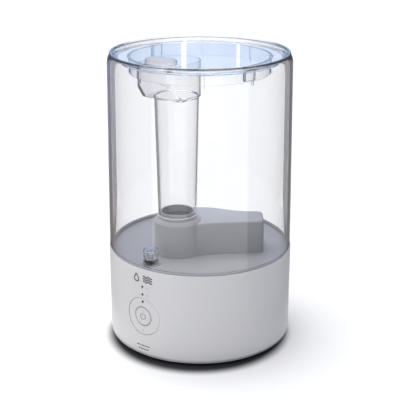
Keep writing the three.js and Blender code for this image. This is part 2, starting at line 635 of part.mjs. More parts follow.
// ---------------------------------------------------------------- tank valve
const SEAL_BOTTOM_Z = TANK_FLOOR_Z + VALVE_LIFT + 0.2;
const FLANGE_Z = SEAL_BOTTOM_Z + 2.3;
place(tank, "valve_cage", CLEAR, cutAll(
  turned(
    [
      [CAGE_RADIUS - 1, TANK_FLOOR_Z + GAP], [CAGE_RADIUS, TANK_FLOOR_Z + GAP],
      [CAGE_RADIUS, CAGE_TOP_Z - 1.5], [CAGE_RADIUS - 1.5, CAGE_TOP_Z], [0, CAGE_TOP_Z],
      [0, CAGE_TOP_Z - 1.2], [CAGE_RADIUS - 1, CAGE_TOP_Z - 1.2],
    ],
    20, LINE_X, VALVE_Y,
  ),
  [45, 135].map((degrees) =>
    turnZ(box(-12, -2.2, 90, 12, 2.2, 105.5), rad(degrees)).translate([LINE_X, VALVE_Y, 0])),
));
place(tank, "valve_seal", BLACK_RUBBER, ring(1.9, 6.4, SEAL_BOTTOM_Z, SEAL_BOTTOM_Z + 2, LINE_X, VALVE_Y, 16));
place(tank, "valve_plunger", WHITE, turned(
  [
    [0, PLUNGER_BOTTOM_Z], [2.6, PLUNGER_BOTTOM_Z], [2.6, PLUNGER_BOTTOM_Z + 1.5],
    [1.6, PLUNGER_BOTTOM_Z + 1.5], [1.6, FLANGE_Z], [5, FLANGE_Z], [5, FLANGE_Z + 1],
    [1.6, FLANGE_Z + 1], [1.6, 107], [0, 107],
  ],
  SMALL, LINE_X, VALVE_Y,
));
place(tank, "valve_spring", STEEL, coil(
  3.6, 0.7, FLANGE_Z + 1.7, CAGE_TOP_Z - 1.9, 4, LINE_X, VALVE_Y,
));

// ---------------------------------------------------------------- lid
const plateBottom = LID_PLATE_Z - LID_PLATE;
const skirtInside = SKIRT_RADIUS - SKIRT_WALL;
const nozzleOpening = (grow) =>
  roundedRectangle(
    LINE_X - NOZZLE_HALF_WIDTH - grow, NOZZLE_FRONT_Y - grow,
    LINE_X + NOZZLE_HALF_WIDTH + grow, NOZZLE_BACK_Y + grow, 9 + grow,
  );
// Thin ribs stiffen the outside of the skirt, and two thick clips hold the lid in the mouth.
const RIB = { width: 1, depth: 2.2 };
const CLIP = { width: 14, depth: 3.4 };
const skirtTab = ({ width, depth }, bottomZ) => (degrees) =>
  turnZ(
    box(-width / 2, -SKIRT_RADIUS - depth, bottomZ, width / 2, -SKIRT_RADIUS + 0.6, LID_PLATE_Z - 1),
    rad(degrees),
  );
const ribs = [-15, 40, 80, 125, 170, 215, 260, 305].map(skirtTab(RIB, SKIRT_BOTTOM_Z - 3));
const clips = [76, 256].map(skirtTab(CLIP, SKIRT_BOTTOM_Z + 2));
const lid = cut(
  union(
    turned(
      [
        [0, LID_PLATE_Z], [82.6, LID_PLATE_Z], [84.6, LID_PLATE_Z + 0.8], [86.8, TOP_Z - 0.5],
        [88, TOP_Z], [LID_RADIUS - 0.4, TOP_Z], [LID_RADIUS, TOP_Z - 0.4], [LID_RADIUS, MOUTH_Z + GAP],
        [87.2, MOUTH_Z + GAP], [84.8, plateBottom + 0.8], [83.8, 292.5], [82.2, 292.5],
        [81.6, plateBottom], [SKIRT_RADIUS, plateBottom], [SKIRT_RADIUS, SKIRT_BOTTOM_Z],
        [skirtInside, SKIRT_BOTTOM_Z], [skirtInside, plateBottom], [0, plateBottom],
      ],
      FINE,
    ),
    ...ribs,
    ...clips,
  ),
  prism(nozzleOpening(GAP), plateBottom - 1, LID_PLATE_Z + THROUGH),
);
place(lidUnit, "lid", CLEAR, lid);

// Mist funnel: round behind the tube, straight forwards to the skirt, with a sloping front.
function hoodSolid(thickness, topZ, bottomZ) {
  const half = HOOD_HALF_WIDTH - thickness;
  const plan = new THREE.Shape();
  plan.moveTo(LINE_X - half, -80);
  plan.lineTo(LINE_X + half, -80);
  plan.lineTo(LINE_X + half, TUBE_Y);
  plan.absarc(LINE_X, TUBE_Y, half, 0, Math.PI);
  const front = skirtInside - GAP - thickness;
  const footY = TUBE_Y - HOOD_HALF_WIDTH + thickness;
  const side = new THREE.Shape();
  side.moveTo(0, bottomZ);
  side.lineTo(-footY, bottomZ);
  side.lineTo(front, SKIRT_BOTTOM_Z + thickness * 0.4);
  side.lineTo(front, topZ);
  side.lineTo(0, topZ);
  const wedge = solid(
    new THREE.ExtrudeGeometry(side, { depth: 80, bevelEnabled: false })
      .rotateX(Math.PI / 2)
      .rotateZ(-Math.PI / 2)
      .translate(40, 0, 0),
  );
  return prism(plan, bottomZ, topZ, 10)
    .intersect(wedge)
    .intersect(disc(front, bottomZ, topZ, 0, 0, FINE));
}
place(lidUnit, "mist_hood", CLEAR, cut(
  hoodSolid(0, plateBottom - GAP, HOOD_BOTTOM_Z),
  hoodSolid(HOOD_WALL, plateBottom + THROUGH, HOOD_BOTTOM_Z + HOOD_WALL),
  disc(TUBE_TOP_RADIUS - TUBE_WALL, HOOD_BOTTOM_Z - THROUGH, HOOD_BOTTOM_Z + THROUGH, LINE_X, TUBE_Y, MEDIUM),
));

// The nozzle is a rounded collar with a baffle that leans over the funnel and throws the mist forwards.
const baffle = solid(
  new THREE.BoxGeometry(2 * NOZZLE_HALF_WIDTH - 1, 1.4, 12)
    .rotateX(rad(-68))
    .translate(LINE_X, NOZZLE_BACK_Y - 6.5, 297.6),
).intersect(prism(nozzleOpening(-0.6), plateBottom + GAP, NOZZLE_TOP_Z));
place(lidUnit, "mist_nozzle", FROSTED, union(
  prism(nozzleOpening(0), plateBottom + GAP, NOZZLE_TOP_Z)
    .subtract(prism(nozzleOpening(-1.6), plateBottom - 1, NOZZLE_TOP_Z + 1)),
  baffle,
));

export default group;
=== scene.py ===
# %% [markdown]
# # A cool mist humidifier
# This lesson builds the looks of a humidifier around its finished CAD model: a white base, a clear
# lift-off tank with a mist tube, and a clear lid. The CAD model moves and carries the parts. Blender
# gives each part a fine surface and a finish. All sizes are in millimetres, and the helpers below
# turn them into Blender's metres.

# %% Load the CAD frame
import json
import math

import bmesh
import bpy
from mathutils import Matrix, Vector

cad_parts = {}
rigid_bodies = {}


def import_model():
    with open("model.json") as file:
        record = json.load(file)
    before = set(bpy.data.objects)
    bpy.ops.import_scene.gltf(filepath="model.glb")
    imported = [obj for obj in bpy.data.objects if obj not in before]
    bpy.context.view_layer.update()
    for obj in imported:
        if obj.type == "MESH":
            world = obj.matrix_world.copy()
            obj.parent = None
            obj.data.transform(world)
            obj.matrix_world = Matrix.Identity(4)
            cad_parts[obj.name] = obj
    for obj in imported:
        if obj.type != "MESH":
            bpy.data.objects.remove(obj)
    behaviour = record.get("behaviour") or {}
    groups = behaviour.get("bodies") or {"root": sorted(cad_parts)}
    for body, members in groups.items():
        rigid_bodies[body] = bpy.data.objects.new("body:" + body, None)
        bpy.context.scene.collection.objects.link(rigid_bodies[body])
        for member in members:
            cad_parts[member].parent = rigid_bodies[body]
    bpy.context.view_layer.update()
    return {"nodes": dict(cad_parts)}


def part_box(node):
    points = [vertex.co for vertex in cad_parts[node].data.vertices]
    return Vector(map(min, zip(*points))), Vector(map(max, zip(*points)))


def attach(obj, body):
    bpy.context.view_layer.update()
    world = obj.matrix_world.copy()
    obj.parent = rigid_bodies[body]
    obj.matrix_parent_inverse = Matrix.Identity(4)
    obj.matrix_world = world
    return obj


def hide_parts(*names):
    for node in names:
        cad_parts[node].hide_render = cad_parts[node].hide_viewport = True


for leftover in list(bpy.data.objects):
    bpy.data.objects.remove(leftover)
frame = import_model()

MM = 0.001


def span(node):
    """A CAD node's lowest and highest corners, in millimetres."""
    low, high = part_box(node)
    return low / MM, high / MM


def middle(low, high):
    """The upright axis of a round piece, as (x, y), from its corners."""
    return ((low.x + high.x) / 2, (low.y + high.y) / 2)


# %% [markdown]
# ## Where things are
# Places in the model follow from a few measures of the frame: the radius and the height of the
# housing, and the line on which valve, tube and nozzle stand. The direction of the air duct is given
# as an angle. Reading these from the frame, and not typing them in again, keeps the looks on the
# parts if the design moves.

# %% Measures taken from the frame
housing_low, housing_high = span("base_housing")
wall_low, wall_high = span("tank_wall")
tube_low, tube_high = span("mist_tube")
lid_high = span("lid")[1]
cage_low, cage_high = span("valve_cage")
BODY_R = housing_high.x
SEAM_Z = housing_high.z
TOP_Z = lid_high.z
TUBE = middle(tube_low, tube_high)
VALVE = middle(cage_low, cage_high)
DUCT_TURN = math.radians(37)
print(f"body radius {BODY_R:.1f}, seam at {SEAM_Z:.1f}, top at {TOP_Z:.1f}, tube at {TUBE}")

# %% [markdown]
# ## The camera
# The camera looks at the panel from its right, a little from above, with a long lens, as a catalogue
# picture does. It comes first, because everything after it is judged through it.

# %% Camera
CAMERA_TURN = math.radians(37)
CAMERA_PITCH = 0.32042
CAMERA_DISTANCE = 978.24
CAMERA_HEIGHT = 485.75
LENS = 89.59
camera_data = bpy.data.cameras.new("camera")
camera_data.lens = LENS
camera_data.sensor_width = 36
camera_data.shift_y = -0.04
camera = bpy.data.objects.new("camera", camera_data)
bpy.context.scene.collection.objects.link(camera)


def seen_from_camera(right, away, up=0.0):
    """A point given as it lies for the camera: to its right, away from it, and up."""
    cos, sin = math.cos(CAMERA_TURN), math.sin(CAMERA_TURN)
    return Vector((right * cos - away * sin, right * sin + away * cos, up)) * MM


camera.location = seen_from_camera(0, -CAMERA_DISTANCE, CAMERA_HEIGHT)
camera.rotation_euler = (math.pi / 2 - CAMERA_PITCH, 0, CAMERA_TURN)
bpy.context.scene.camera = camera
print("camera at", [round(c, 3) for c in camera.location])

# %% [markdown]
# ## Meshes from outlines
# Nearly all of this object is turned or drawn up from an outline, so two small functions make most
# of it. One spins a profile round an upright axis. The other joins a stack of closed loops with a
# skin, and so makes anything whose section changes with height. Moulded plastic has no knife edges:
# a corner of a profile may carry a third number, its fillet radius.


# %% Outlines
def fillet(points, closed, steps=4):
    """Points as (x, y) or (x, y, radius). Each corner with a radius becomes an arc."""
    count = len(points)
    smooth = []
    for i, point in enumerate(points):
        radius = point[2] if len(point) > 2 else 0
        if not radius or (not closed and i in (0, count - 1)):
            smooth.append((point[0], point[1]))
            continue
        here = Vector(point[:2])
        back = Vector(points[i - 1][:2]) - here
        ahead = Vector(points[(i + 1) % count][:2]) - here
        half = back.angle(ahead) / 2
        reach = min(radius / math.tan(half), 0.48 * back.length, 0.48 * ahead.length)
        start = here + back.normalized() * reach
        end = here + ahead.normalized() * reach
        for k in range(steps + 1):
            t = k / steps
            smooth.append(tuple(start * (1 - t) ** 2 + here * 2 * t * (1 - t) + end * t**2))
    return smooth


def supported(points, closed, margin=0.25):
    """Adds points near both ends of each long edge, so that a flat face beside a fillet shades flat."""
    denser = []
    for i, here in enumerate(points):
        denser.append(here)
        there = points[(i + 1) % len(points)]
        length = math.dist(here, there)
        if length < 8 * margin or (i == len(points) - 1 and not closed):
            continue
        share = margin / length
        for t, end in ((share, here), (1 - share, there)):
            if end[0] > 0:
                denser.append((here[0] + (there[0] - here[0]) * t, here[1] + (there[1] - here[1]) * t))
    return denser


def arc(x, y, radius, start, end, steps):
    """Points on a circle, from one angle in degrees to another."""
    turns = [math.radians(start + (end - start) * k / steps) for k in range(steps + 1)]
    return [(x + radius * math.cos(a), y + radius * math.sin(a)) for a in turns]


def bezier(points, steps):
    """Points on a Bezier curve of any degree, without its first point."""
    curve = []
    for k in range(1, steps + 1):
        layer = [Vector(p) for p in points]
        while len(layer) > 1:
            layer = [a.lerp(b, k / steps) for a, b in zip(layer, layer[1:])]
        curve.append(tuple(layer[0]))
    return curve


def inset(outline, distance):
    """A closed outline, drawn anticlockwise, moved inwards."""
    moved = []
    count = len(outline)
    for i, point in enumerate(outline):
        into = (Vector(point) - Vector(outline[i - 1])).normalized()
        out = (Vector(outline[(i + 1) % count]) - Vector(point)).normalized()
        normal = Vector((-into.y - out.y, into.x + out.x)).normalized()
        share = max(0.5, normal.dot(Vector((-into.y, into.x))))
        moved.append(tuple(Vector(point) + normal * distance / share))
    return moved


# %% Meshes
SHARP = math.radians(32)


def mesh_object(name, vertices, faces, sharp=SHARP):
    """A smooth-shaded object from points in millimetres, with its sharp edges marked."""
    mesh = bpy.data.meshes.new(name)
    mesh.from_pydata([Vector(v) * MM for v in vertices], [], faces)
    made = bpy.data.objects.new(name, mesh)
    bpy.context.scene.collection.objects.link(made)
    return tidy(made, sharp)


def tidy(made, sharp=SHARP):
    """Merges doubles, turns the faces outwards and marks edges sharper than a limit."""
    work = bmesh.new()
    work.from_mesh(made.data)
    bmesh.ops.remove_doubles(work, verts=work.verts, dist=2e-6)
    bmesh.ops.dissolve_degenerate(work, edges=work.edges, dist=1e-6)
    bmesh.ops.recalc_face_normals(work, faces=work.faces)
    for face in work.faces:
        face.smooth = True
    for edge in work.edges:
        edge.smooth = edge.calc_face_angle(0) < sharp
    work.to_mesh(made.data)
    work.free()
    return made


def skinned(name, loops, ring=True, sharp=SHARP):
    """A skin over loops of equal length. With ring the last joins the first, else the ends are capped."""
    size = len(loops[0])
    vertices = [point for loop in loops for point in loop]
    faces = []
    for i in range(len(loops) if ring else len(loops) - 1):
        here, there = i * size, ((i + 1) % len(loops)) * size
        for k in range(size):
            after = (k + 1) % size
            faces.append((here + k, here + after, there + after, there + k))
    if not ring:
        faces.append(tuple(reversed(range(size))))
        faces.append(tuple(range((len(loops) - 1) * size, len(loops) * size)))
    return mesh_object(name, vertices, faces, sharp)


def turned(name, profile, at=(0, 0), steps=192, sharp=SHARP):
    """A profile of (radius, z) or (radius, z, fillet) points spun round an upright axis at a place."""
    on_axis = profile[0][0] == 0
    points = supported(fillet(profile, not on_axis), not on_axis)
    if on_axis:
        points = points[1:-1]
    turns = [2 * math.pi * k / steps for k in range(steps)]
    loops = [
        [(at[0] + r * math.cos(a), at[1] + r * math.sin(a), z) for a in turns]
        for r, z in points
    ]
    return skinned(name, loops, not on_axis, sharp)


def upright(outline, z):
    """An outline as a loop of points at one height."""
    return [(x, y, z) for x, y in outline]


def turned_by(made, angle):
    """Turns a mesh about Z through the origin."""
    made.data.transform(Matrix.Rotation(angle, 4, "Z"))
    return made


def plain_mesh(made):
    """The object with its modifiers applied, as a plain mesh of the same name."""
    bpy.context.view_layer.update()
    graph = bpy.context.evaluated_depsgraph_get()
    mesh = bpy.data.meshes.new_from_object(made.evaluated_get(graph))
    made.modifiers.clear()
    old = made.data
    made.data = mesh
    bpy.data.meshes.remove(old)
    mesh.name = made.name
    return made


def boolean(body, tool, operation):
    """Joins a tool to a body, or cuts it out, and removes the tool."""
    step = body.modifiers.new("boolean", "BOOLEAN")
    step.operation = operation
    step.object = tool
    step.solver = "EXACT"
    plain_mesh(body)
    bpy.data.objects.remove(tool)
    return body


def cut(body, *tools):
    for tool in tools:
        boolean(body, tool, "DIFFERENCE")
    return tidy(body)


def join(body, *tools):
    for tool in tools:
        boolean(body, tool, "UNION")
    return tidy(body)


def block(name, low, high):
    """A box between two corners, mostly used to cut."""
    (x0, y0, z0), (x1, y1, z1) = low, high
    outline = [(x0, y0), (x1, y0), (x1, y1), (x0, y1)]
    return skinned(name, [upright(outline, z0), upright(outline, z1)], ring=False)


def rod(name, radius, y0, y1, x, z, steps=96):
    """A rod along Y, mostly used to cut the panel's holes."""
    turns = [2 * math.pi * k / steps for k in range(steps)]
    loops = [[(x + radius * math.cos(a), y, z + radius * math.sin(a)) for a in turns] for y in (y0, y1)]
    return skinned(name, loops, ring=False)


# %% [markdown]
# ## Node trees
# Materials and Geometry Nodes are both trees of nodes. Written as a chain of node calls, a tree
# hides what it works out, so a small class wraps a socket and lets node maths be ordinary Python:
# `grain * 0.1 + 0.3` adds two Math nodes. Every other node comes from one method, which takes the
# node's type, its settings, and the values or links of its sockets.


# %% Node maths
class Value:
    """A socket that takes part in arithmetic."""

    def __init__(self, owner, socket):
        self.owner = owner
        self.socket = socket

    def maths(self, operation, first, second):
        return self.owner.node("ShaderNodeMath", {"operation": operation}, {0: first, 1: second})

    def __add__(self, other):
        return self.maths("ADD", self, other)

    def __radd__(self, other):
        return self.maths("ADD", other, self)

    def __mul__(self, other):
        return self.maths("MULTIPLY", self, other)

    def __rmul__(self, other):
        return self.maths("MULTIPLY", other, self)

    def __sub__(self, other):
        return self.maths("SUBTRACT", self, other)

    def __rsub__(self, other):
        return self.maths("SUBTRACT", other, self)

    def __truediv__(self, other):
        return self.maths("DIVIDE", self, other)


class Nodes:
    """A node tree of any kind, built by calls."""

    def __init__(self, tree):
        self.tree = tree

    def node(self, kind, settings=None, inputs=None, out=0):
        made = self.tree.nodes.new(kind)
        for key, value in (settings or {}).items():
            if key == "stops":
                self.set_stops(made.color_ramp.elements, value)
            else:
                setattr(made, key, value)
        for key, value in (inputs or {}).items():
            socket = made.inputs[key]
            if isinstance(value, Value):
                self.tree.links.new(value.socket, socket)
            elif socket.type == "RGBA":
                socket.default_value = (*value, 1)
            else:
                socket.default_value = value
        return Value(self, made.outputs[out])

    def set_stops(self, ramp, stops):
        while len(ramp) < len(stops):
            ramp.new(0.5)
        for element, (place, shade) in zip(ramp, stops):
            element.position = place
            element.color = (*shade, 1)


# %% [markdown]
# ## Rules for what repeats
# Feet, screws, blades and ribs stand in rings, and slots, fins and dashes stand in rows. Geometry
# Nodes say that once, as a rule with named sizes: put copies of a part at points that a formula
# places. The result is kept as a plain mesh, so each ring or row is one finished piece.


# %% Geometry rules
class Rule(Nodes):
    """A geometry node tree with named inputs."""

    def __init__(self, name, sockets):
        super().__init__(bpy.data.node_groups.new(name, "GeometryNodeTree"))
        face = self.tree.interface
        face.new_socket("Geometry", in_out="OUTPUT", socket_type="NodeSocketGeometry")
        for label, kind in sockets:
            face.new_socket(label, in_out="INPUT", socket_type="NodeSocket" + kind)
        self.entry = self.tree.nodes.new("NodeGroupInput")

    def size(self, label):
        return Value(self, self.entry.outputs[label])

    def finish(self, geometry):
        """Ends the tree: real geometry in one material."""
        real = self.node("GeometryNodeRealizeInstances", inputs={"Geometry": geometry})
        dressed = self.node(
            "GeometryNodeSetMaterial", inputs={"Geometry": real, "Material": self.size("Material")}
        )
        last = self.tree.nodes.new("NodeGroupOutput")
        self.tree.links.new(dressed.socket, last.inputs[0])
        return self

    def grow(self, name, **sizes):
        """Runs the rule, with its inputs given by name, and keeps the result as a plain mesh."""
        made = bpy.data.objects.new(name, bpy.data.meshes.new(name))
        bpy.context.scene.collection.objects.link(made)
        step = made.modifiers.new("rule", "NODES")
        step.node_group = self.tree
        for item in self.tree.interface.items_tree:
            if item.item_type == "SOCKET" and item.in_out == "INPUT":
                step[item.identifier] = sizes[item.name]
        plain_mesh(made)
        part = sizes.get("Part")
        if part:
            bpy.data.objects.remove(part)
        print(f"{name}: {len(made.data.polygons)} faces grown by the rule {self.tree.name}")
        return made


def ring_rule():
    """Copies of a part round an upright axis. Each copy turns with its place on the ring."""
    rule = Rule(
        "ring",
        [("Part", "Object"), ("Count", "Int"), ("Circle", "Float"), ("Start", "Float"),
         ("Centre", "Vector"), ("Material", "Material")],
    )
    turn = rule.node("GeometryNodeInputIndex") * (2 * math.pi) / rule.size("Count") + rule.size("Start")
    circle = rule.size("Circle")
    spoke = rule.node(
        "ShaderNodeCombineXYZ",
        inputs={
            "X": circle * rule.node("ShaderNodeMath", {"operation": "COSINE"}, {0: turn}),
            "Y": circle * rule.node("ShaderNodeMath", {"operation": "SINE"}, {0: turn}),
        },
    )
    spot = rule.node("ShaderNodeVectorMath", inputs={0: spoke, 1: rule.size("Centre")})
    points = rule.node(
        "GeometryNodePoints", inputs={"Count": rule.size("Count"), "Position": spot}
    )
    part = rule.node("GeometryNodeObjectInfo", inputs={"Object": rule.size("Part")}, out="Geometry")
    copies = rule.node(
        "GeometryNodeInstanceOnPoints",
        inputs={
            "Points": points,
            "Instance": part,
            "Rotation": rule.node("ShaderNodeCombineXYZ", inputs={"Z": turn}),
        },
    )
    return rule.finish(copies)


def row_rule():
    """Copies of a part along a line, from a start, one step apart."""
    rule = Rule(
        "row",
        [("Part", "Object"), ("Count", "Int"), ("Start", "Vector"), ("Step", "Vector"),
         ("Material", "Material")],
    )
    points = rule.node(
        "GeometryNodeMeshLine",
        inputs={"Count": rule.size("Count"), "Start Location": rule.size("Start"),
                "Offset": rule.size("Step")},
    )
    part = rule.node("GeometryNodeObjectInfo", inputs={"Object": rule.size("Part")}, out="Geometry")
    copies = rule.node("GeometryNodeInstanceOnPoints", inputs={"Points": points, "Instance": part})
    return rule.finish(copies)


def spring_rule():
    """A wire wound up a helix."""
    rule = Rule(
        "spring",
        [("Radius", "Float"), ("Wire", "Float"), ("Height", "Float"), ("Turns", "Float"),
         ("Foot", "Vector"), ("Material", "Material")],
    )
    path = rule.node(
        "GeometryNodeCurveSpiral",
        inputs={"Resolution": 48, "Rotations": rule.size("Turns"), "Start Radius": rule.size("Radius"),
                "End Radius": rule.size("Radius"), "Height": rule.size("Height")},
    )
    placed = rule.node("GeometryNodeSetPosition", inputs={"Geometry": path, "Offset": rule.size("Foot")})
    wire = rule.node(
        "GeometryNodeCurvePrimitiveCircle", inputs={"Resolution": 16, "Radius": rule.size("Wire")}
    )
    swept = rule.node(
        "GeometryNodeCurveToMesh",
        inputs={"Curve": placed, "Profile Curve": wire, "Fill Caps": True},
    )
    return rule.finish(swept)


ring, row, spring = ring_rule(), row_rule(), spring_rule()

# %% [markdown]
# ## Finishes
# A material here is a little recipe on Object coordinates, so its grain keeps its real size and
# stays on the part when the part moves.


# %% Finish helpers
class Finish(Nodes):
    """A material, built by calls."""

    def __init__(self, name):
        self.material = bpy.data.materials.new(name)
        self.material.use_nodes = True
        super().__init__(self.material.node_tree)
        self.tree.nodes.clear()

    def noise(self, scale, detail=3.0, stretch=(1.0, 1.0, 1.0)):
        place = self.node("ShaderNodeTexCoord", out="Object")
        where = self.node("ShaderNodeMapping", inputs={"Vector": place, "Scale": stretch})
        return self.node(
            "ShaderNodeTexNoise", inputs={"Vector": where, "Scale": scale, "Detail": detail}
        )

    def mix(self, share, first, second):
        inputs = {0: share, 6: first, 7: second}
        return self.node("ShaderNodeMix", {"data_type": "RGBA"}, inputs, out=2)

    def bump(self, height, depth):
        """A bump of a depth in millimetres."""
        return self.node("ShaderNodeBump", inputs={"Height": height, "Distance": depth * MM})

    def principled(self, **inputs):
        named = {key.replace("_", " "): value for key, value in inputs.items()}
        return self.node("ShaderNodeBsdfPrincipled", inputs=named)

    def surface(self, shader):
        out = self.tree.nodes.new("ShaderNodeOutputMaterial")
        self.tree.links.new(shader.socket, out.inputs["Surface"])
        return self.material


# %% [markdown]
# ### Opaque plastics
# The housing is moulded in white plastic with a satin spark-eroded texture: a grain well under a
# millimetre, and very slow changes of gloss where the mould cooled unevenly. Noise on Object
# coordinates gives both at their real scale. The grey of the tank's floor is smoother, so the tube
# and the duct mirror in it.


# %% Plastic finishes
def plastic(name, colour, shade, roughness, grain, depth, coat=0.0):
    finish = Finish(name)
    fine = finish.noise(grain, 2.0)
    slow = finish.noise(22.0, 2.0)
    shader = finish.principled(
        Base_Color=finish.mix(slow, colour, shade),
        Roughness=slow * 0.1 + fine * 0.06 + (roughness - 0.08),
        Normal=finish.bump(fine, depth),
        Coat_Weight=coat,
        Coat_Roughness=0.08,
    )
    return finish.surface(shader)


white = plastic("white_plastic", (0.64, 0.64, 0.65), (0.62, 0.62, 0.63), 0.38, 1600.0, 0.012)
trough_white = plastic("trough_plastic", (0.62, 0.63, 0.66), (0.59, 0.6, 0.63), 0.42, 1200.0, 0.012)
grey = plastic("grey_plastic", (0.375, 0.375, 0.40), (0.355, 0.355, 0.38), 0.3, 1500.0, 0.003, 0.15)
dark = plastic("dark_plastic", (0.03, 0.03, 0.034), (0.045, 0.045, 0.05), 0.5, 1400.0, 0.02)
foam = plastic("float_foam", (0.7, 0.66, 0.58), (0.62, 0.58, 0.5), 0.8, 700.0, 0.06)
rubber = plastic("black_rubber", (0.018, 0.018, 0.019), (0.03, 0.03, 0.031), 0.75, 1500.0, 0.02)
silicone = plastic("silicone", (0.62, 0.63, 0.65), (0.55, 0.56, 0.58), 0.55, 1300.0, 0.01)
ink = plastic("dark_ink", (0.07, 0.07, 0.075), (0.09, 0.09, 0.095), 0.6, 1800.0, 0.004)
pale_ink = plastic("pale_ink", (0.30, 0.30, 0.31), (0.34, 0.34, 0.35), 0.6, 1800.0, 0.004)
smoked = plastic("smoked_lens", (0.03, 0.03, 0.032), (0.04, 0.04, 0.042), 0.25, 900.0, 0.002, 0.6)
print("opaque plastics made")

# %% [markdown]
# ### Clear plastic
# The tank is injection-moulded styrene, which bends light a little less than glass does. Lamps have
# to reach the parts inside it, which refraction would stop, so shadow rays pass through a plain
# Transparent shader instead. Flow lines in the moulding are long and very shallow: a stretched noise
# in the bump keeps the reflections alive.


# %% Clear finishes
def clear(name, tint, roughness, waves, depth, shadow_tint):
    finish = Finish(name)
    flow = finish.noise(waves, 2.0, (1.0, 1.0, 0.25))
    body = finish.principled(
        Base_Color=tint,
        Roughness=flow * 0.02 + roughness,
        IOR=1.47,
        Transmission_Weight=1.0,
        Normal=finish.bump(flow, depth),
    )
    passing = finish.node("ShaderNodeBsdfTransparent", inputs={"Color": shadow_tint})
    shadow = finish.node("ShaderNodeLightPath", out="Is Shadow Ray")
    return finish.surface(finish.node("ShaderNodeMixShader", inputs={0: shadow, 1: body, 2: passing}))


tank_clear = clear("clear_plastic", (0.966, 0.967, 0.968), 0.0, 18.0, 0.02, (0.97, 0.97, 0.98))
frosted = clear("frosted_plastic", (0.93, 0.935, 0.96), 0.3, 60.0, 0.03, (0.85, 0.85, 0.87))
print("clear plastics made")


# %% Metal and board finishes
def metal(name, colour, roughness, brushing):
    finish = Finish(name)
    lines = finish.noise(400.0, 3.0, brushing)
    shader = finish.principled(
        Base_Color=finish.mix(lines, colour, [c * 0.85 for c in colour]),
        Metallic=1.0,
        Roughness=lines * 0.2 + (roughness - 0.1),
        Normal=finish.bump(lines, 0.01),
    )
    return finish.surface(shader)


def circuit_board():
    """Green solder mask over a pattern of paler tracks."""
    finish = Finish("circuit_board")
    tracks = finish.node(
        "ShaderNodeTexBrick",
        inputs={
            "Vector": finish.node("ShaderNodeTexCoord", out="Object"), "Scale": 160.0,
            "Mortar Size": 0.03, "Color1": (0.01, 0.1, 0.035), "Color2": (0.012, 0.12, 0.04),
            "Mortar": (0.05, 0.26, 0.1),
        },
    )
    grain = finish.noise(500.0)
    shader = finish.principled(
        Base_Color=tracks, Roughness=grain * 0.1 + 0.3, Normal=finish.bump(grain, 0.02)
    )
    return finish.surface(shader)


steel = metal("steel", (0.58, 0.59, 0.6), 0.32, (1.0, 1.0, 8.0))
brass = metal("brass", (0.75, 0.58, 0.32), 0.3, (1.0, 1.0, 1.0))
board = circuit_board()

# %% [markdown]
# ## Riding on the CAD
# Each piece gets its finish, the body that it moves with, and the CAD nodes that it stands for. One
# function says all of it in one line per piece.


# %% Dressing a piece
def dress(piece, material, slot, body, *replaced):
    """Gives a piece its finish and its body, and hides the CAD nodes that it stands for. The slot is not
    used.
    """
    piece.data.materials.clear()
    piece.data.materials.append(material)
    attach(piece, body)
    if replaced:
        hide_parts(*replaced)
    print(f"{piece.name}: {len(piece.data.polygons)} faces, rides on {body}")
    return piece


# %% [markdown]
# ## Base housing
# The base is one deep white cup with an open top edge. Its wall is turned from a profile with
# rounded rims, because those rims catch the light along the seam. Holes for the panel, the lamps and
# the power socket are cut from the front and the back, and four screw bosses stand inside.

# %% Base housing
FACE = BODY_R - 0.04
WALL = 2.6
INSIDE_R = BODY_R - WALL
bezel_low, bezel_high = span("control_bezel")
BEZEL_R = (bezel_high.x - bezel_low.x) / 2
PANEL_Z = (bezel_low.z + bezel_high.z) / 2
inlet_low, inlet_high = span("power_inlet")
screw_low, screw_high = span("cover_screw_1")
BOSS_CIRCLE = math.hypot(*middle(screw_low, screw_high))
BOSS_TURN = math.radians(45)
HOLE_GAP = 0.3
OUT, INTO = -BODY_R - 5, -80

housing = turned(
    "housing_shell",
    [
        (INSIDE_R, housing_low.z), (FACE, housing_low.z, 0.9), (FACE, SEAM_Z, 0.8),
        (INSIDE_R, SEAM_Z, 0.5), (INSIDE_R, 81.5), (INSIDE_R - 2.4, 81.5), (INSIDE_R - 2.4, 79.5),
        (INSIDE_R, 77),
    ],
    steps=360,
)
lamp_boxes = [span(f"lamp_lens_{i}") for i in (1, 2, 3)]
LAMP_ZS = [(low.z + high.z) / 2 for low, high in lamp_boxes]
LAMP_R = (lamp_boxes[0][1].x - lamp_boxes[0][0].x) / 2
cut(
    housing,
    rod("bezel_hole", BEZEL_R + HOLE_GAP, OUT, INTO, 0, PANEL_Z, 160),
    *(rod("lamp_hole", LAMP_R + HOLE_GAP, OUT, INTO, 0, z, 32) for z in LAMP_ZS[1:]),
    block(
        "inlet_hole",
        (inlet_low.x - HOLE_GAP, inlet_low.y + 2, inlet_low.z - HOLE_GAP),
        (inlet_high.x + HOLE_GAP, BODY_R + 5, inlet_high.z + HOLE_GAP),
    ),
)
dress(housing, white, "white_plastic", "base", "base_housing")

boss = turned(
    "boss",
    [(1.6, 6.1), (4.5, 6.1), (4.5, 30, 0.4), (1.6, 30)],
    steps=48,
)
bosses = ring.grow(
    "screw_bosses", Part=boss, Count=4, Circle=BOSS_CIRCLE * MM, Start=BOSS_TURN,
    Centre=(0, 0, 0), Material=white,
)
dress(tidy(bosses), white, "white_plastic", "base")

# %% [markdown]
# ## Bottom cover, feet and screws
# The cover closes the base from below. Air for the mist comes in through seven slots under the fan.
# The slots are a row and the feet and screws are rings, so the rules above make them, the slots as
# one cutter that the boolean takes out of the plate.

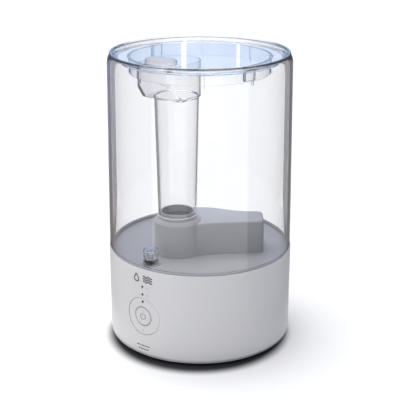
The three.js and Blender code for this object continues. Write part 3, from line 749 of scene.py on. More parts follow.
# %% Bottom cover
cover_low = span("bottom_cover")[0]
foot_low, foot_high = span("foot_1")
FOOT_R = (foot_high.x - foot_low.x) / 2
FOOT_CIRCLE = (foot_high.x + foot_low.x) / 2
COVER_TOP = 5
RIM_Z = housing_low.z - HOLE_GAP
DUCT_FAN = (49, -15)
SLOT_COUNT, SLOT_PITCH, SLOT_LENGTH, SLOT_WIDTH = 7, 5.5, 32, 3

cover = turned(
    "bottom_plate",
    [
        (0, cover_low.z), (91.9, cover_low.z, 1.2), (94.4, cover_low.z + 2, 0.8),
        (94.8, RIM_Z - 0.8, 0.2), (93.4, RIM_Z - 0.6), (93.4, RIM_Z), (91.8, RIM_Z), (91.8, COVER_TOP),
        (0, COVER_TOP),
    ],
    steps=240,
)
half_slot = SLOT_WIDTH / 2
slot_outline = arc(SLOT_LENGTH / 2 - half_slot, 0, half_slot, -90, 90, 10)
slot_outline += arc(half_slot - SLOT_LENGTH / 2, 0, half_slot, 90, 270, 10)
slot_cutter = skinned("slot", [upright(slot_outline, 0), upright(slot_outline, 10)], ring=False)
slots = row.grow(
    "slots", Part=slot_cutter, Count=SLOT_COUNT, Step=(0, SLOT_PITCH * MM, 0), Material=white,
    Start=Vector((DUCT_FAN[0], DUCT_FAN[1] - (SLOT_COUNT - 1) / 2 * SLOT_PITCH, 0)) * MM,
)
turned_by(slots, DUCT_TURN)
recess = turned("recess", [(0, -1), (FOOT_R + HOLE_GAP, -1), (FOOT_R + HOLE_GAP, 3.3), (0, 3.3)], steps=64)
recesses = ring.grow(
    "recesses", Part=recess, Count=4, Circle=FOOT_CIRCLE * MM, Start=0.0, Centre=(0, 0, 0), Material=white
)
well = turned("well", [(0, -1), (3.3, -1), (3.3, 3.9), (1.7, 3.9), (1.7, 9), (0, 9)], steps=48)
wells = ring.grow(
    "wells", Part=well, Count=4, Circle=BOSS_CIRCLE * MM, Start=BOSS_TURN, Centre=(0, 0, 0),
    Material=white,
)
cut(cover, slots, recesses, wells)
dress(cover, white, "white_plastic", "base", "bottom_cover")

# %% Feet and screws
foot = turned(
    "foot",
    [
        (0, 0), (3.2, 0, 0.3), (3.6, 0.4, 0.3), (4.4, 0, 0.3), (FOOT_R, 0, 0.9), (FOOT_R, foot_high.z),
        (0, foot_high.z),
    ],
    steps=64,
)
feet = ring.grow(
    "rubber_feet", Part=foot, Count=4, Circle=FOOT_CIRCLE * MM, Start=0.0, Centre=(0, 0, 0), Material=rubber
)
dress(tidy(feet), rubber, "black_rubber", "base", "foot_1", "foot_2", "foot_3", "foot_4")


def pan_screw(name, head_z, head_r, head_h, shank_r, tip_z):
    """A cross-head screw that points up: domed head, cross recess and turned thread."""
    pitch = 1.1 * shank_r
    z = head_z + head_h
    profile = [
        (0, head_z), (head_r * 0.5, head_z, 0.5), (head_r, head_z + 0.45, 0.4), (head_r, z),
        (shank_r * 0.8, z),
    ]
    while z + pitch < tip_z - 1:
        profile += [(shank_r * 0.8, z + pitch * 0.4), (shank_r, z + pitch * 0.7)]
        z += pitch
    profile += [(shank_r * 0.8, z + pitch * 0.2), (0, tip_z)]
    made = turned(name, profile, steps=40)
    reach, half = head_r * 0.55, head_r * 0.1
    return cut(
        made,
        block("cross", (-reach, -half, head_z - 1), (reach, half, head_z + head_h * 0.6)),
        block("cross", (-half, -reach, head_z - 1), (half, reach, head_z + head_h * 0.6)),
    )


cover_screws = ring.grow(
    "cover_screws", Part=pan_screw("screw", screw_low.z, 3, 1.4, 1.3, screw_high.z), Count=4,
    Circle=BOSS_CIRCLE * MM, Start=BOSS_TURN, Centre=(0, 0, 0), Material=steel,
)
dress(tidy(cover_screws), steel, "steel", "base", *(f"cover_screw_{i}" for i in (1, 2, 3, 4)))

# %% [markdown]
# ## Control panel
# Bezel, button and print all follow the curve of the housing. A flat disc would stand off it, so
# these pieces are drawn on the cylinder itself: a point of the panel keeps its height, and its place
# across becomes an angle. The round pieces are loops of the panel's circle at two depths.


# %% Panel helpers
def on_wall(across, z, radius):
    """A panel point, across and up in millimetres, laid on a cylinder of a radius."""
    turn = across / BODY_R
    return (radius * math.sin(turn), -radius * math.cos(turn), z)


def wall_loops(profile, steps=144):
    """Circles on the housing's curve, from points of (radius on the panel, radius of the cylinder)."""
    loops = []
    for r, face in profile:
        circle = [(r * math.cos(a), r * math.sin(a)) for a in (2 * math.pi * k / steps for k in range(steps))]
        loops.append([(x, -math.sqrt(face**2 - x**2), PANEL_Z + up) for x, up in circle])
    return loops


def printed(name, strokes, material, slot, body, width, top):
    """Ink on the wall: each stroke is a list of (across, z) points, drawn as a low ridge of a width."""
    half = width / 2
    pieces = []
    for stroke in strokes:
        loops = []
        for i, point in enumerate(stroke):
            ahead = Vector(stroke[min(i + 1, len(stroke) - 1)]) - Vector(stroke[max(i - 1, 0)])
            side = Vector((-ahead.y, ahead.x)).normalized() * half
            left, right = Vector(point) + side, Vector(point) - side
            loops.append([
                on_wall(*left, top - 0.12), on_wall(*right, top - 0.12),
                on_wall(*right, top), on_wall(*left, top),
            ])
        pieces.append(skinned("stroke", loops, ring=False))
    return dress(merged(name, pieces), material, slot, body)


def merged(name, pieces):
    """Loose pieces as one object."""
    work = bmesh.new()
    for piece in pieces:
        work.from_mesh(piece.data)
        bpy.data.objects.remove(piece)
    mesh = bpy.data.meshes.new(name)
    work.to_mesh(mesh)
    work.free()
    made = bpy.data.objects.new(name, mesh)
    bpy.context.scene.collection.objects.link(made)
    return made


# %% Bezel and button
button_low, button_high = span("power_button")
BUTTON_R = (button_high.x - button_low.x) / 2
BEZEL_FACE = BODY_R - 0.3
bezel_loops = wall_loops(
    fillet(
        [
            (BUTTON_R + HOLE_GAP, INSIDE_R), (BEZEL_R, INSIDE_R), (BEZEL_R, BEZEL_FACE, 0.6),
            (BUTTON_R + HOLE_GAP, BEZEL_FACE, 0.5),
        ],
        closed=True,
    ),
)
bezel = skinned("panel_bezel", bezel_loops)
cut(bezel, rod("lens_hole", LAMP_R + HOLE_GAP, OUT, INTO, 0, LAMP_ZS[0], 32))
dress(bezel, white, "white_plastic", "base", "control_bezel")

BUTTON_FACE = BODY_R - 0.12
button_loops = wall_loops(
    fillet(
        [
            (0.3, BUTTON_FACE), (BUTTON_R - 1.1, BUTTON_FACE, 0.3), (BUTTON_R - 0.9, BUTTON_FACE - 0.25, 0.2),
            (BUTTON_R - 0.3, BUTTON_FACE - 0.1, 0.3), (BUTTON_R, BUTTON_FACE - 0.6, 0.3),
            (BUTTON_R, INSIDE_R + 0.2), (0.3, INSIDE_R + 0.2),
        ],
        closed=False,
    ),
)
button = skinned("button_cap", button_loops, ring=False)
stem = rod("stem", 2.2, -BODY_R + 1.5, button_high.y, 0, PANEL_Z, 48)
join(button, stem)
dress(button, white, "white_plastic", "button", "power_button")

# %% Print on the panel
BUTTON_PRINT = BODY_R - 0.06
POWER_R = 3.1
power_turns = [math.radians(a) for a in range(38, 323, 8)]
power_arc = [(POWER_R * math.sin(a), PANEL_Z + POWER_R * math.cos(a)) for a in power_turns]
power_bar = [(0, PANEL_Z + 1.2), (0, PANEL_Z + 4.0)]
printed("power_symbol", [power_arc, power_bar], pale_ink, "grey_plastic", "button", 1.0, BUTTON_PRINT)
GUIDE_R = BUTTON_R - 1.0
guide_turns = [2 * math.pi * k / 96 for k in range(97)]
guide = [(GUIDE_R * math.cos(a), PANEL_Z + GUIDE_R * math.sin(a)) for a in guide_turns]
printed("button_ring", [guide], pale_ink, "grey_plastic", "button", 1.5, BODY_R - 0.2)


# %% Lamp lenses
lenses = []
for (low, high), z in zip(lamp_boxes, LAMP_ZS):
    profile = fillet([(0.12, low.y), (LAMP_R, low.y, 0.5), (LAMP_R, high.y), (0.12, high.y)], closed=False)
    turns = [2 * math.pi * k / 32 for k in range(32)]
    loops = [[(r * math.cos(a), y, z + r * math.sin(a)) for a in turns] for r, y in profile]
    lenses.append(skinned("lens", loops, ring=False))
dress(merged("lamp_lenses", lenses), smoked, "lens", "base", "lamp_lens_1", "lamp_lens_2", "lamp_lens_3")

# %% [markdown]
# ## Print on the housing
# Real makers print a name above the panel and ratings below it. This one carries a plain sign of a
# drop with three mist lines, small ticks beside the lamps, and two rows of dashes where ratings
# would stand. All are strokes on the wall.

# %% Print on the housing
WALL_PRINT = BODY_R - 0.005
SIGN_Z = 87.8
DROP_X = -7.5
drop_tip, drop_foot = (DROP_X, SIGN_Z + 4.2), (DROP_X, SIGN_Z - 3.8)
drop = [drop_tip] + bezier([drop_tip, (DROP_X - 6, SIGN_Z - 4.2), drop_foot], 10)
drop += bezier([drop_foot, (DROP_X + 6, SIGN_Z - 4.2), drop_tip], 10)
waves = [
    [(1 + 11 * t, SIGN_Z + level + 0.75 * math.sin(4 * math.pi * t)) for t in (k / 24 for k in range(25))]
    for level in (-2.6, 0, 2.6)
]
printed("drop_and_mist_sign", [drop, *waves], ink, "dark_plastic", "base", 1.4, WALL_PRINT)
ticks = [[(5.0, z), (7.2, z)] for z in LAMP_ZS[1:]]
ticks.append([(0, PANEL_Z - 16.2), (0, PANEL_Z - 14.0)])
printed("lamp_ticks", ticks[:2], pale_ink, "grey_plastic", "base", 0.7, WALL_PRINT)
printed("bezel_tick", ticks[2:], pale_ink, "grey_plastic", "base", 0.9, BEZEL_FACE + 0.03)


def dashes(widths, z, gap=0.8):
    """A row of dashes, centred, as strokes."""
    total = sum(widths) + gap * (len(widths) - 1)
    strokes = []
    left = -total / 2
    for width in widths:
        strokes.append([(left, z), (left + width, z)])
        left += width + gap
    return strokes


fine_rows = dashes([3.0, 1.8, 4.0, 2.4, 2.0], 14.6) + dashes([2.4, 3.4, 1.8, 2.6], 10.8)
printed("rating_dashes", fine_rows, ink, "dark_plastic", "base", 1.2, WALL_PRINT)

# %% [markdown]
# ## Power socket
# A small socket for the mains adapter sits low at the back, in a rounded frame with a pin in its
# bore.


# %% Power socket
def rounded_box(name, low, high, radius, edge=0.4, steps=5):
    """A box whose upright corners and top and bottom rims are rounded."""
    (x0, y0, z0), (x1, y1, z1) = low, high
    outline = []
    for x, y, start in ((x1, y0, -90), (x1, y1, 0), (x0, y1, 90), (x0, y0, 180)):
        cx = x - radius if x == x1 else x + radius
        cy = y - radius if y == y1 else y + radius
        outline += arc(cx, cy, radius, start, start + 90, steps)
    rounding = [math.pi / 2 * k / (steps - 1) for k in range(steps)]
    lower = [(edge * (1 - math.sin(a)), z0 + edge * (1 - math.cos(a))) for a in rounding]
    upper = [(edge * (1 - math.cos(a)), z1 - edge * (1 - math.sin(a))) for a in rounding]
    return skinned(name, [upright(inset(outline, into), z) for into, z in lower + upper], ring=False)


INLET_Z = (inlet_low.z + inlet_high.z) / 2
inlet = rounded_box("power_socket", inlet_low, inlet_high, 0.6)
cut(inlet, rod("bore", 3.2, 86, 100, 0, INLET_Z, 64))
join(inlet, rod("pin", 0.9, 85, 93, 0, INLET_Z, 32))
dress(inlet, dark, "dark_plastic", "base", "power_inlet")

# %% [markdown]
# ## Water trough
# Lift the tank, and the trough shows: a deck with a rim, a round sump over the mist maker, the pin
# that opens the tank's valve, the float on its post and the air chimney. It is turned and boxed
# pieces joined to one moulding.

# %% Water trough
trough_high = span("water_trough")[1]
float_low, float_high = span("float")
fan_high = span("fan_frame")[1]
plunger_low = span("valve_plunger")[0]
FLOAT = middle(float_low, float_high)
DECK_Z, DECK_UNDER = 84, 81.8
SUMP_R, SUMP_FLOOR, SUMP_UNDER = 46, 62.2, 60
CHIMNEY_TOP = trough_high.z
FAN_X, FAN_Y = DUCT_FAN
PLENUM_Z = fan_high.z + 0.3

trough = turned(
    "water_trough_moulding",
    [
        (0, DECK_UNDER), (trough_high.x, DECK_UNDER), (trough_high.x, DECK_Z, 0.6), (89.2, DECK_Z, 0.8),
        (89.2, 92.5, 0.7), (87.2, 92.5, 0.7), (87.2, DECK_Z, 1.6), (0, DECK_Z),
    ],
    steps=240,
)
sump = turned(
    "sump", [(0, SUMP_UNDER), (SUMP_R + 2.2, SUMP_UNDER, 3), (SUMP_R + 2.2, 83), (0, 83)], TUBE, 160
)
hollow = turned(
    "hollow",
    [(0, SUMP_FLOOR), (SUMP_R, SUMP_FLOOR, 4), (SUMP_R, 83.4), (SUMP_R + 1.4, 90), (0, 90)],
    TUBE, 160,
)
window = turned("window", [(0, 50), (9.4, 50), (9.4, 61.8), (11, 70), (0, 70)], TUBE, 96)
chimney = rounded_box("chimney", (FAN_X - 11, FAN_Y - 9, 61), (FAN_X + 11, FAN_Y + 9, CHIMNEY_TOP), 2.4, 0.7)
flue = rounded_box("flue", (FAN_X - 9.2, FAN_Y - 7.2, 48), (FAN_X + 9.2, FAN_Y + 7.2, 118), 1.2)
plenum = rounded_box("plenum", (FAN_X - 20, FAN_Y - 20, PLENUM_Z), (FAN_X + 20, FAN_Y + 20, 62), 2.0)
mouth = turned("mouth", [(0, 0), (18.5, 0), (18.5, 60.2), (0, 60.2)], DUCT_FAN, 96)
for piece in (chimney, flue, plenum, mouth):
    turned_by(piece, DUCT_TURN)
join(trough, sump, chimney, plenum)
cut(trough, hollow, window, flue, mouth)
pin = turned(
    "pin",
    [
        (0, 61), (5, 61), (3, 70, 2), (2.2, 84), (2.2, plunger_low.z - 0.3, 0.5), (0, plunger_low.z - 0.3),
    ],
    VALVE, 48,
)
post = turned("post", [(0, 61), (3.2, 61), (1.7, 63.4, 0.8), (1.7, 80, 0.3), (0, 80)], FLOAT, 32)
clamp_post = turned("clamp_post", [(1.1, 56.2), (3, 56.2), (3, 61), (1.1, 61)], steps=32)
CLAMP_CIRCLE = 15.8
clamp_centre = (TUBE[0] * MM, TUBE[1] * MM, 0)
clamp_posts = ring.grow(
    "clamp_posts", Part=clamp_post, Count=3, Circle=CLAMP_CIRCLE * MM, Start=math.pi / 2,
    Centre=clamp_centre, Material=trough_white,
)
join(trough, pin, post, clamp_posts)
dress(trough, trough_white, "trough_plastic", "base", "water_trough")

# %% Float and mist maker
float_ring = turned(
    "float_ring", [(2.2, 64, 0.4), (9, 64, 0.9), (9, 74, 0.9), (2.2, 74, 0.4)], FLOAT, 64
)
dress(float_ring, foam, "float_foam", "float", "float")
cap_low, cap_high = span("float_cap")
cap_profile = [(0, cap_low.z), (3.6, cap_low.z, 0.3), (3.4, cap_high.z, 1.0), (0, cap_high.z)]
cap = turned("post_cap", cap_profile, FLOAT, 48)
dress(cap, silicone, "silicone", "base", "float_cap")
seal = turned(
    "mist_maker_seal",
    [(8.8, 56.3, 0.3), (12.6, 56.3, 0.4), (12.6, 59.7, 0.4), (8.8, 59.7, 0.3), (8.8, 58.7), (10.4, 58.7),
     (10.4, 57.3), (8.8, 57.3)],
    TUBE, 96,
)
dress(seal, silicone, "silicone", "base", "transducer_seal")
plate = turned("mist_maker_disc", [(0, 57.6), (10.1, 57.6, 0.15), (10.1, 58.4, 0.15), (0, 58.4)], TUBE, 96)
dress(plate, brass, "brass", "base", "transducer_disc")
clamp = turned("clamp_ring", [(9.2, 54.6, 0.3), (19, 54.6, 0.3), (19, 55.9, 0.3), (9.2, 55.9, 0.3)], TUBE, 96)
hole = turned("hole", [(0, 50), (1.2, 50), (1.2, 60), (0, 60)], steps=24)
holes = ring.grow(
    "holes", Part=hole, Count=3, Circle=CLAMP_CIRCLE * MM, Start=math.pi / 2, Centre=clamp_centre,
    Material=steel,
)
dress(cut(clamp, holes), steel, "steel", "base", "transducer_clamp")
clamp_low, clamp_high = span("clamp_screw_1")
clamp_screws = ring.grow(
    "clamp_screws", Part=pan_screw("screw", clamp_low.z, 2.2, 1.2, 0.8, clamp_high.z), Count=3,
    Circle=CLAMP_CIRCLE * MM, Start=math.pi / 2, Centre=clamp_centre, Material=steel,
)
dress(tidy(clamp_screws), steel, "steel", "base", *(f"clamp_screw_{i}" for i in (1, 2, 3)))

# %% [markdown]
# ## Fan
# A small square computer fan pushes air up the chimney. Its seven blades are one twisted blade in a
# ring: pitch falls from hub to tip, as the air there moves faster.


# %% Fan
def fan_blade():
    """One blade drawn along +X: sections from hub to tip, each a thin lens turned by its pitch."""
    loops = []
    for k in range(7):
        t = k / 6
        radius = 7.4 + 9.6 * t
        pitch = math.radians(48 - 16 * t)
        chord = 8.6 + 2.0 * t
        section = []
        for side in (1, -1):
            for j in range(9):
                u = (j / 8 if side == 1 else 1 - j / 8) - 0.5
                if side == -1 and j in (0, 8):
                    continue
                along = u * chord
                lift = side * 0.5 * (1 - (2 * u) ** 2) + 0.7 * (1 - (2 * u) ** 2) + 0.05 * side
                section.append((
                    radius,
                    along * math.cos(pitch) - lift * math.sin(pitch),
                    49.0 + along * math.sin(pitch) + lift * math.cos(pitch),
                ))
        loops.append(section)
    return skinned("blade", loops, ring=False)


hub_centre = Matrix.Rotation(DUCT_TURN, 3, "Z") @ Vector((FAN_X, FAN_Y, 0))
blades = ring.grow(
    "blades", Part=fan_blade(), Count=7, Circle=0.0, Start=DUCT_TURN, Centre=hub_centre * MM, Material=dark
)
hub = turned(
    "fan_wheel", [(0, 45.4), (8, 45.4, 0.5), (8, 52.8, 1.0), (6.5, 52.8, 0.3), (6.3, 52.5, 0.3), (0, 52.5)],
    (hub_centre.x, hub_centre.y), 96,
)
wheel = join(hub, blades)
dress(wheel, dark, "dark_plastic", "fan", "fan_rotor")
fan_screws = [span(f"fan_screw_{i}") for i in (1, 2, 3, 4)]
SCREW_RING = math.dist(middle(*fan_screws[0]), (hub_centre.x, hub_centre.y))
fan_screw_ring = ring.grow(
    "fan_screws", Part=pan_screw("screw", fan_screws[0][0].z, 2.6, 1.4, 1.2, fan_screws[0][1].z), Count=4,
    Circle=SCREW_RING * MM, Start=DUCT_TURN + math.radians(45), Centre=hub_centre * MM, Material=steel,
)
dress(tidy(fan_screw_ring), steel, "steel", "base", *(f"fan_screw_{i}" for i in (1, 2, 3, 4)))

# %% Carried-over parts inside
for name, material in {
    "fan_frame": dark, "driver_board": board, "control_board": board, "driver_heat_sink": steel,
    "button_switch": dark,
}.items():
    node = frame["nodes"][name]
    node.data.materials.clear()
    node.data.materials.append(material)
    print(f"{name} keeps its CAD shape in {material.name}")

# %% [markdown]
# ## Tank floor
# The floor of the tank is one grey moulding: a plate, a round cup that carries the mist tube, and
# a low air duct that runs from the cup to the right. Cup and plate are turned. The duct is drawn as
# an outline and lofted, its top edge rounded by insetting the outline as it rises.

# %% Tank floor
TANK_R = wall_high.x
DUCT_TOP = 131.7
CUP_R, CUP_LEDGE, CUP_RING = 24, 134, 136.8
COLLAR_R, COLLAR_TOP = 17.5, 141.7
FLOOR_Z = 97
DUCT_END = 65
floor_plate = turned(
    "tank_floor_moulding",
    [
        (0, 94.5), (89.9, 94.5), (89.9, 88, 0.6), (92.1, 88, 0.6), (92.1, 98.9), (TANK_R, 98.9, 0.4),
        (TANK_R, 100.1, 0.3), (91, 100.1), (91, FLOOR_Z, 1.6), (0, FLOOR_Z),
    ],
    steps=300,
)
cup = turned(
    "cup",
    [
        (0, 94.6), (CUP_R, 94.6), (CUP_R, CUP_LEDGE - 2.5, 1.5), (22, CUP_LEDGE, 1.2),
        (19.6, CUP_LEDGE + 1, 0.6), (19.6, CUP_RING, 0.3), (COLLAR_R, CUP_RING), (COLLAR_R, COLLAR_TOP, 0.4),
        (0, COLLAR_TOP),
    ],
    TUBE, 160,
)
duct_outline = [(-22, -40), (-4, -38)]
duct_outline += bezier([(-4, -38), (24, -30.5), (DUCT_END - 5, -30)], 14)
duct_outline += arc(DUCT_END - 5, -25, 5, -90, 0, 8)[1:] + arc(DUCT_END - 5, -4, 5, 0, 90, 8)
duct_outline += bezier([(DUCT_END - 5, 1), (24, 1), (26, 14), (-2, 14)], 18)
duct_outline += bezier([(-2, 14), (-20, 13), (-28, -4)], 10)
DUCT_EDGE = 2.2
duct_loops = [upright(duct_outline, 94.6)]
for k in range(7):
    turn = math.pi / 2 * k / 6
    rise = DUCT_TOP - DUCT_EDGE * (1 - math.sin(turn))
    duct_loops.append(upright(inset(duct_outline, DUCT_EDGE * (1 - math.cos(turn))), rise))
duct = turned_by(skinned("duct", duct_loops, ring=False), DUCT_TURN)
valve_rim = turned("valve_rim", [(8.2, 96), (9.6, 96), (9.6, 97.8, 0.4), (8.2, 97.8, 0.4)], VALVE, 96)
join(floor_plate, cup, duct, valve_rim)
bore = turned(
    "bore", [(0, 80), (21.8, 80), (21.8, 130, 2), (16.2, 135, 1.5), (16.2, 160), (0, 160)], TUBE, 128
)
inner_outline = inset(duct_outline, 2)
inner_loops = [upright(inner_outline, 80), upright(inner_outline, DUCT_TOP - 2)]
inner = turned_by(skinned("inner", inner_loops, ring=False), DUCT_TURN)
drain = turned("drain", [(0, 80), (3.8, 80), (3.8, 110), (0, 110)], VALVE, 64)
cut(floor_plate, bore, inner, drain)
dress(floor_plate, grey, "grey_plastic", "tank", "tank_floor")

# %% [markdown]
# ## Tank wall and mist tube
# The wall is the main clear piece: straight up, then curving in to the mouth. Light bends at both
# of its faces, so it has to be a real shell, with its own thickness and a rounded lip. The tube
# widens upwards, so that drops run back down it.

# %% Tank wall
TANK_WALL = 3.0
SHOULDER_Z = 287
SHOULDER_R = 92.6
MOUTH_R = 90.3
SHOULDER_TURN = math.radians(68)


def shoulder(radius, mouth, steps=16):
    """The curve from the wall's straight part to the mouth, as (radius, z) points."""
    points = []
    for k in range(steps + 1):
        t = SHOULDER_TURN * k / steps
        share = (1 - math.cos(t)) / (1 - math.cos(SHOULDER_TURN))
        rise = math.sin(t) / math.sin(SHOULDER_TURN)
        points.append((radius - (radius - mouth) * share, SHOULDER_Z + (wall_high.z - SHOULDER_Z) * rise))
    return points


outside = shoulder(SHOULDER_R, MOUTH_R)
inside = shoulder(SHOULDER_R - TANK_WALL, MOUTH_R - TANK_WALL)
wall = turned(
    "clear_tank",
    [
        (TANK_R - TANK_WALL, wall_low.z, 0.3), (TANK_R, wall_low.z, 0.5), *outside[:-1],
        (*outside[-1], 0.8), (*inside[-1], 0.8), *reversed(inside[:-1]),
    ],
    steps=300,
)
dress(wall, tank_clear, "clear_plastic", "tank", "tank_wall")

# %% Mist tube
TUBE_FOOT, TUBE_MOUTH, TUBE_WALL = 19.7, 22.3, 1.8
tube = turned(
    "clear_mist_tube",
    [
        (TUBE_FOOT - TUBE_WALL, tube_low.z, 0.4), (TUBE_FOOT, tube_low.z, 0.4),
        (TUBE_MOUTH, tube_high.z, 0.5), (TUBE_MOUTH - TUBE_WALL, tube_high.z, 0.5),
    ],
    TUBE, 160,
)
dress(tube, tank_clear, "clear_plastic", "tank", "mist_tube")
gasket_low, gasket_high = span("tube_gasket")
gasket = turned(
    "tube_seal",
    [
        (17.9, gasket_low.z, 0.3), (20, gasket_low.z, 0.6), (20, gasket_high.z, 0.6),
        (17.9, gasket_high.z, 0.3),
    ],
    TUBE, 128,
)
dress(gasket, silicone, "silicone", "tank", "tube_gasket")

# %% [markdown]
# ## Tank valve
# A sprung plunger closes the hole in the floor when the tank is lifted off. It stands in a clear
# cage with four windows. The spring is a helix rule.

# %% Tank valve
cage = turned(
    "valve_guard",
    [
        (0, cage_high.z - 1.2), (6.8, cage_high.z - 1.2, 1.0), (6.8, cage_low.z, 0.2), (7.8, cage_low.z, 0.2),
        (7.8, cage_high.z, 1.6), (0, cage_high.z),
    ],
    VALVE, 96,
)
for degrees in (45, 135):
    window = block("window", (-12, -2.2, 90), (12, 2.2, 105.5))
    window.data.transform(
        Matrix.Translation(Vector((*VALVE, 0)) * MM) @ Matrix.Rotation(math.radians(degrees), 4, "Z")
    )
    cut(cage, window)
dress(cage, tank_clear, "clear_plastic", "tank", "valve_cage")
seal_low, seal_high = span("valve_seal")
valve_washer = turned(
    "valve_washer",
    [(1.9, seal_low.z, 0.2), (6.4, seal_low.z, 0.7), (6.4, seal_high.z, 0.3), (1.9, seal_high.z, 0.2)],
    VALVE, 64,
)
dress(valve_washer, rubber, "black_rubber", "valve", "valve_seal")
plunger = turned(
    "valve_stem",
    [
        (0, 92.5), (2.6, 92.5, 0.3), (2.6, 94), (1.6, 94), (1.6, 101.5), (5, 101.5, 0.3), (5, 102.5, 0.3),
        (1.6, 102.5), (1.6, 107, 0.5), (0, 107),
    ],
    VALVE, 64,
)
dress(plunger, trough_white, "white_plastic", "valve", "valve_plunger")
spring_low, spring_high = span("valve_spring")
WIRE = 0.35
valve_coil = spring.grow(
    "valve_coil", Radius=3.6 * MM, Wire=WIRE * MM, Turns=4.0,
    Height=(spring_high.z - spring_low.z - 2 * WIRE) * MM,
    Foot=Vector((*VALVE, spring_low.z + WIRE)) * MM, Material=steel,
)
dress(tidy(valve_coil), steel, "steel", "tank", "valve_spring")

# %% [markdown]
# ## Lid
# The lid is a clear dish: a sunken plate, a rounded rim that covers the tank's mouth, and a skirt
# below with thin ribs. Two clips hold it in the mouth. It is turned in one profile, and the ribs
# are a ring.

# %% Lid
PLATE_TOP, PLATE_UNDER = 296.6, 294.4
SKIRT_R, SKIRT_IN = 71.5, 69.9
SKIRT_Z = 280.5
lid = turned(
    "clear_lid",
    [
        (0, PLATE_TOP), (82.6, PLATE_TOP, 3), (86.0, PLATE_TOP + 1.6, 2), (87.6, TOP_Z, 1.2),
        (lid_high.x, TOP_Z, 0.9), (lid_high.x, wall_high.z + 0.3, 0.4),
        (87.2, wall_high.z + 0.3, 0.6), (84.8, PLATE_UNDER + 0.8, 0.6),
        (83.8, 292.5, 0.4), (82.2, 292.5, 0.4), (81.6, PLATE_UNDER, 0.4), (SKIRT_R, PLATE_UNDER, 0.8),
        (SKIRT_R, SKIRT_Z, 0.5), (SKIRT_IN, SKIRT_Z, 0.5), (SKIRT_IN, PLATE_UNDER, 0.8), (0, PLATE_UNDER),
    ],
    steps=300,
)
nozzle_low, nozzle_high = span("mist_nozzle")


def nozzle_outline(grow):
    """The nozzle's rounded rectangle, grown on all sides."""
    x0, y0 = nozzle_low.x - grow, nozzle_low.y - grow
    x1, y1 = nozzle_high.x + grow, nozzle_high.y + grow
    radius = 9 + grow
    outline = []
    for x, y, start in (
        (x1 - radius, y0 + radius, -90), (x1 - radius, y1 - radius, 0),
        (x0 + radius, y1 - radius, 90), (x0 + radius, y0 + radius, 180),
    ):
        outline += arc(x, y, radius, start, start + 90, 12)
    return outline


hole_outline = nozzle_outline(0.3)
opening = skinned(
    "opening", [upright(hole_outline, PLATE_UNDER - 1), upright(hole_outline, TOP_Z + 5)], ring=False
)
cut(lid, opening)
dress(lid, tank_clear, "clear_plastic", "lid", "lid")


def lid_tab(name, width, depth, z0, z1, turn):
    """A rounded tab outside the skirt, drawn in front and turned into place."""
    front = -SKIRT_R - depth
    low, high = (-width / 2, front, z0), (width / 2, -SKIRT_R + 0.3, z1)
    tab = rounded_box(name, low, high, min(width / 3, 1.5), min(width / 3, 0.6))
    return turned_by(tab, math.radians(turn))


ribs = merged("lid_ribs", [
    lid_tab("rib", 1.0, 2.2, SKIRT_Z - 3, PLATE_TOP - 1.6, turn)
    for turn in (-15, 40, 80, 125, 170, 215, 260, 305)
])
dress(ribs, tank_clear, "clear_plastic", "lid")
clips = merged(
    "lid_clips", [lid_tab("clip", 14, 3.4, SKIRT_Z + 2, PLATE_TOP - 1.6, turn) for turn in (76, 256)]
)
dress(clips, tank_clear, "clear_plastic", "lid")

# %% [markdown]
# ## Mist hood and nozzle
# The hood leads the mist from the tube to the nozzle. In plan it is a half circle behind the tube
# and straight in front. Its floor slopes up to the skirt, so its loops change with height: the front
# edge is where the slope meets the skirt's circle.

# %% Mist hood
hood_low, hood_high = span("mist_hood")
HOOD_HALF = (hood_high.x - hood_low.x) / 2
HOOD_FOOT = TUBE[1] - HOOD_HALF
HOOD_FRONT = SKIRT_IN - 0.3
HOOD_WALL = 1.6


def hood_loop(thickness, z, shrink=0.0):
    """The hood's outline at a height, drawn anticlockwise from above."""
    half = HOOD_HALF - thickness - shrink
    front = HOOD_FRONT - thickness - shrink
    foot = HOOD_FOOT + thickness + shrink
    bottom = hood_low.z + thickness
    share = min(1, max(0, (z - bottom) / (SKIRT_Z + thickness * 0.4 - bottom)))
    slope = foot + (-front - foot) * share
    loop = []
    corner = 2.5
    for k in range(25):
        x = half * math.sin(math.pi / 2 * (k / 12 - 1))
        y = max(slope, -math.sqrt(front**2 - (TUBE[0] + x) ** 2))
        loop.append((TUBE[0] + x, y + corner * (1 - math.sqrt(max(0, 1 - (abs(x) / half) ** 24))), z))
    for k in range(1, 32):
        a = math.pi * k / 32
        loop.append((TUBE[0] + half * math.cos(a), TUBE[1] + half * math.sin(a), z))
    return loop


HOOD_EDGE = 1.2
outer = []
for k in range(5):
    turn = math.pi / 2 * k / 4
    rise = HOOD_EDGE * (1 - math.cos(turn))
    outer.append(hood_loop(0, hood_low.z + rise, HOOD_EDGE * (1 - math.sin(turn))))
outer += [hood_loop(0, hood_low.z + HOOD_EDGE + 1.2 * k) for k in range(1, 17)]
outer += [hood_loop(0, SKIRT_Z + 1), hood_loop(0, hood_high.z)]
hood_inside = [hood_loop(HOOD_WALL, hood_high.z), hood_loop(HOOD_WALL, SKIRT_Z + 2)]
hood_inside += [hood_loop(HOOD_WALL, hood_low.z + HOOD_WALL + 1.2 * k) for k in range(16, -1, -1)]
hood = skinned("clear_hood", outer + hood_inside, ring=False)
tube_hole = turned("tube_hole", [(0, 250), (20.5, 250), (20.5, 270), (0, 270)], TUBE, 96)
cut(hood, tube_hole)
dress(hood, tank_clear, "clear_plastic", "lid", "mist_hood")

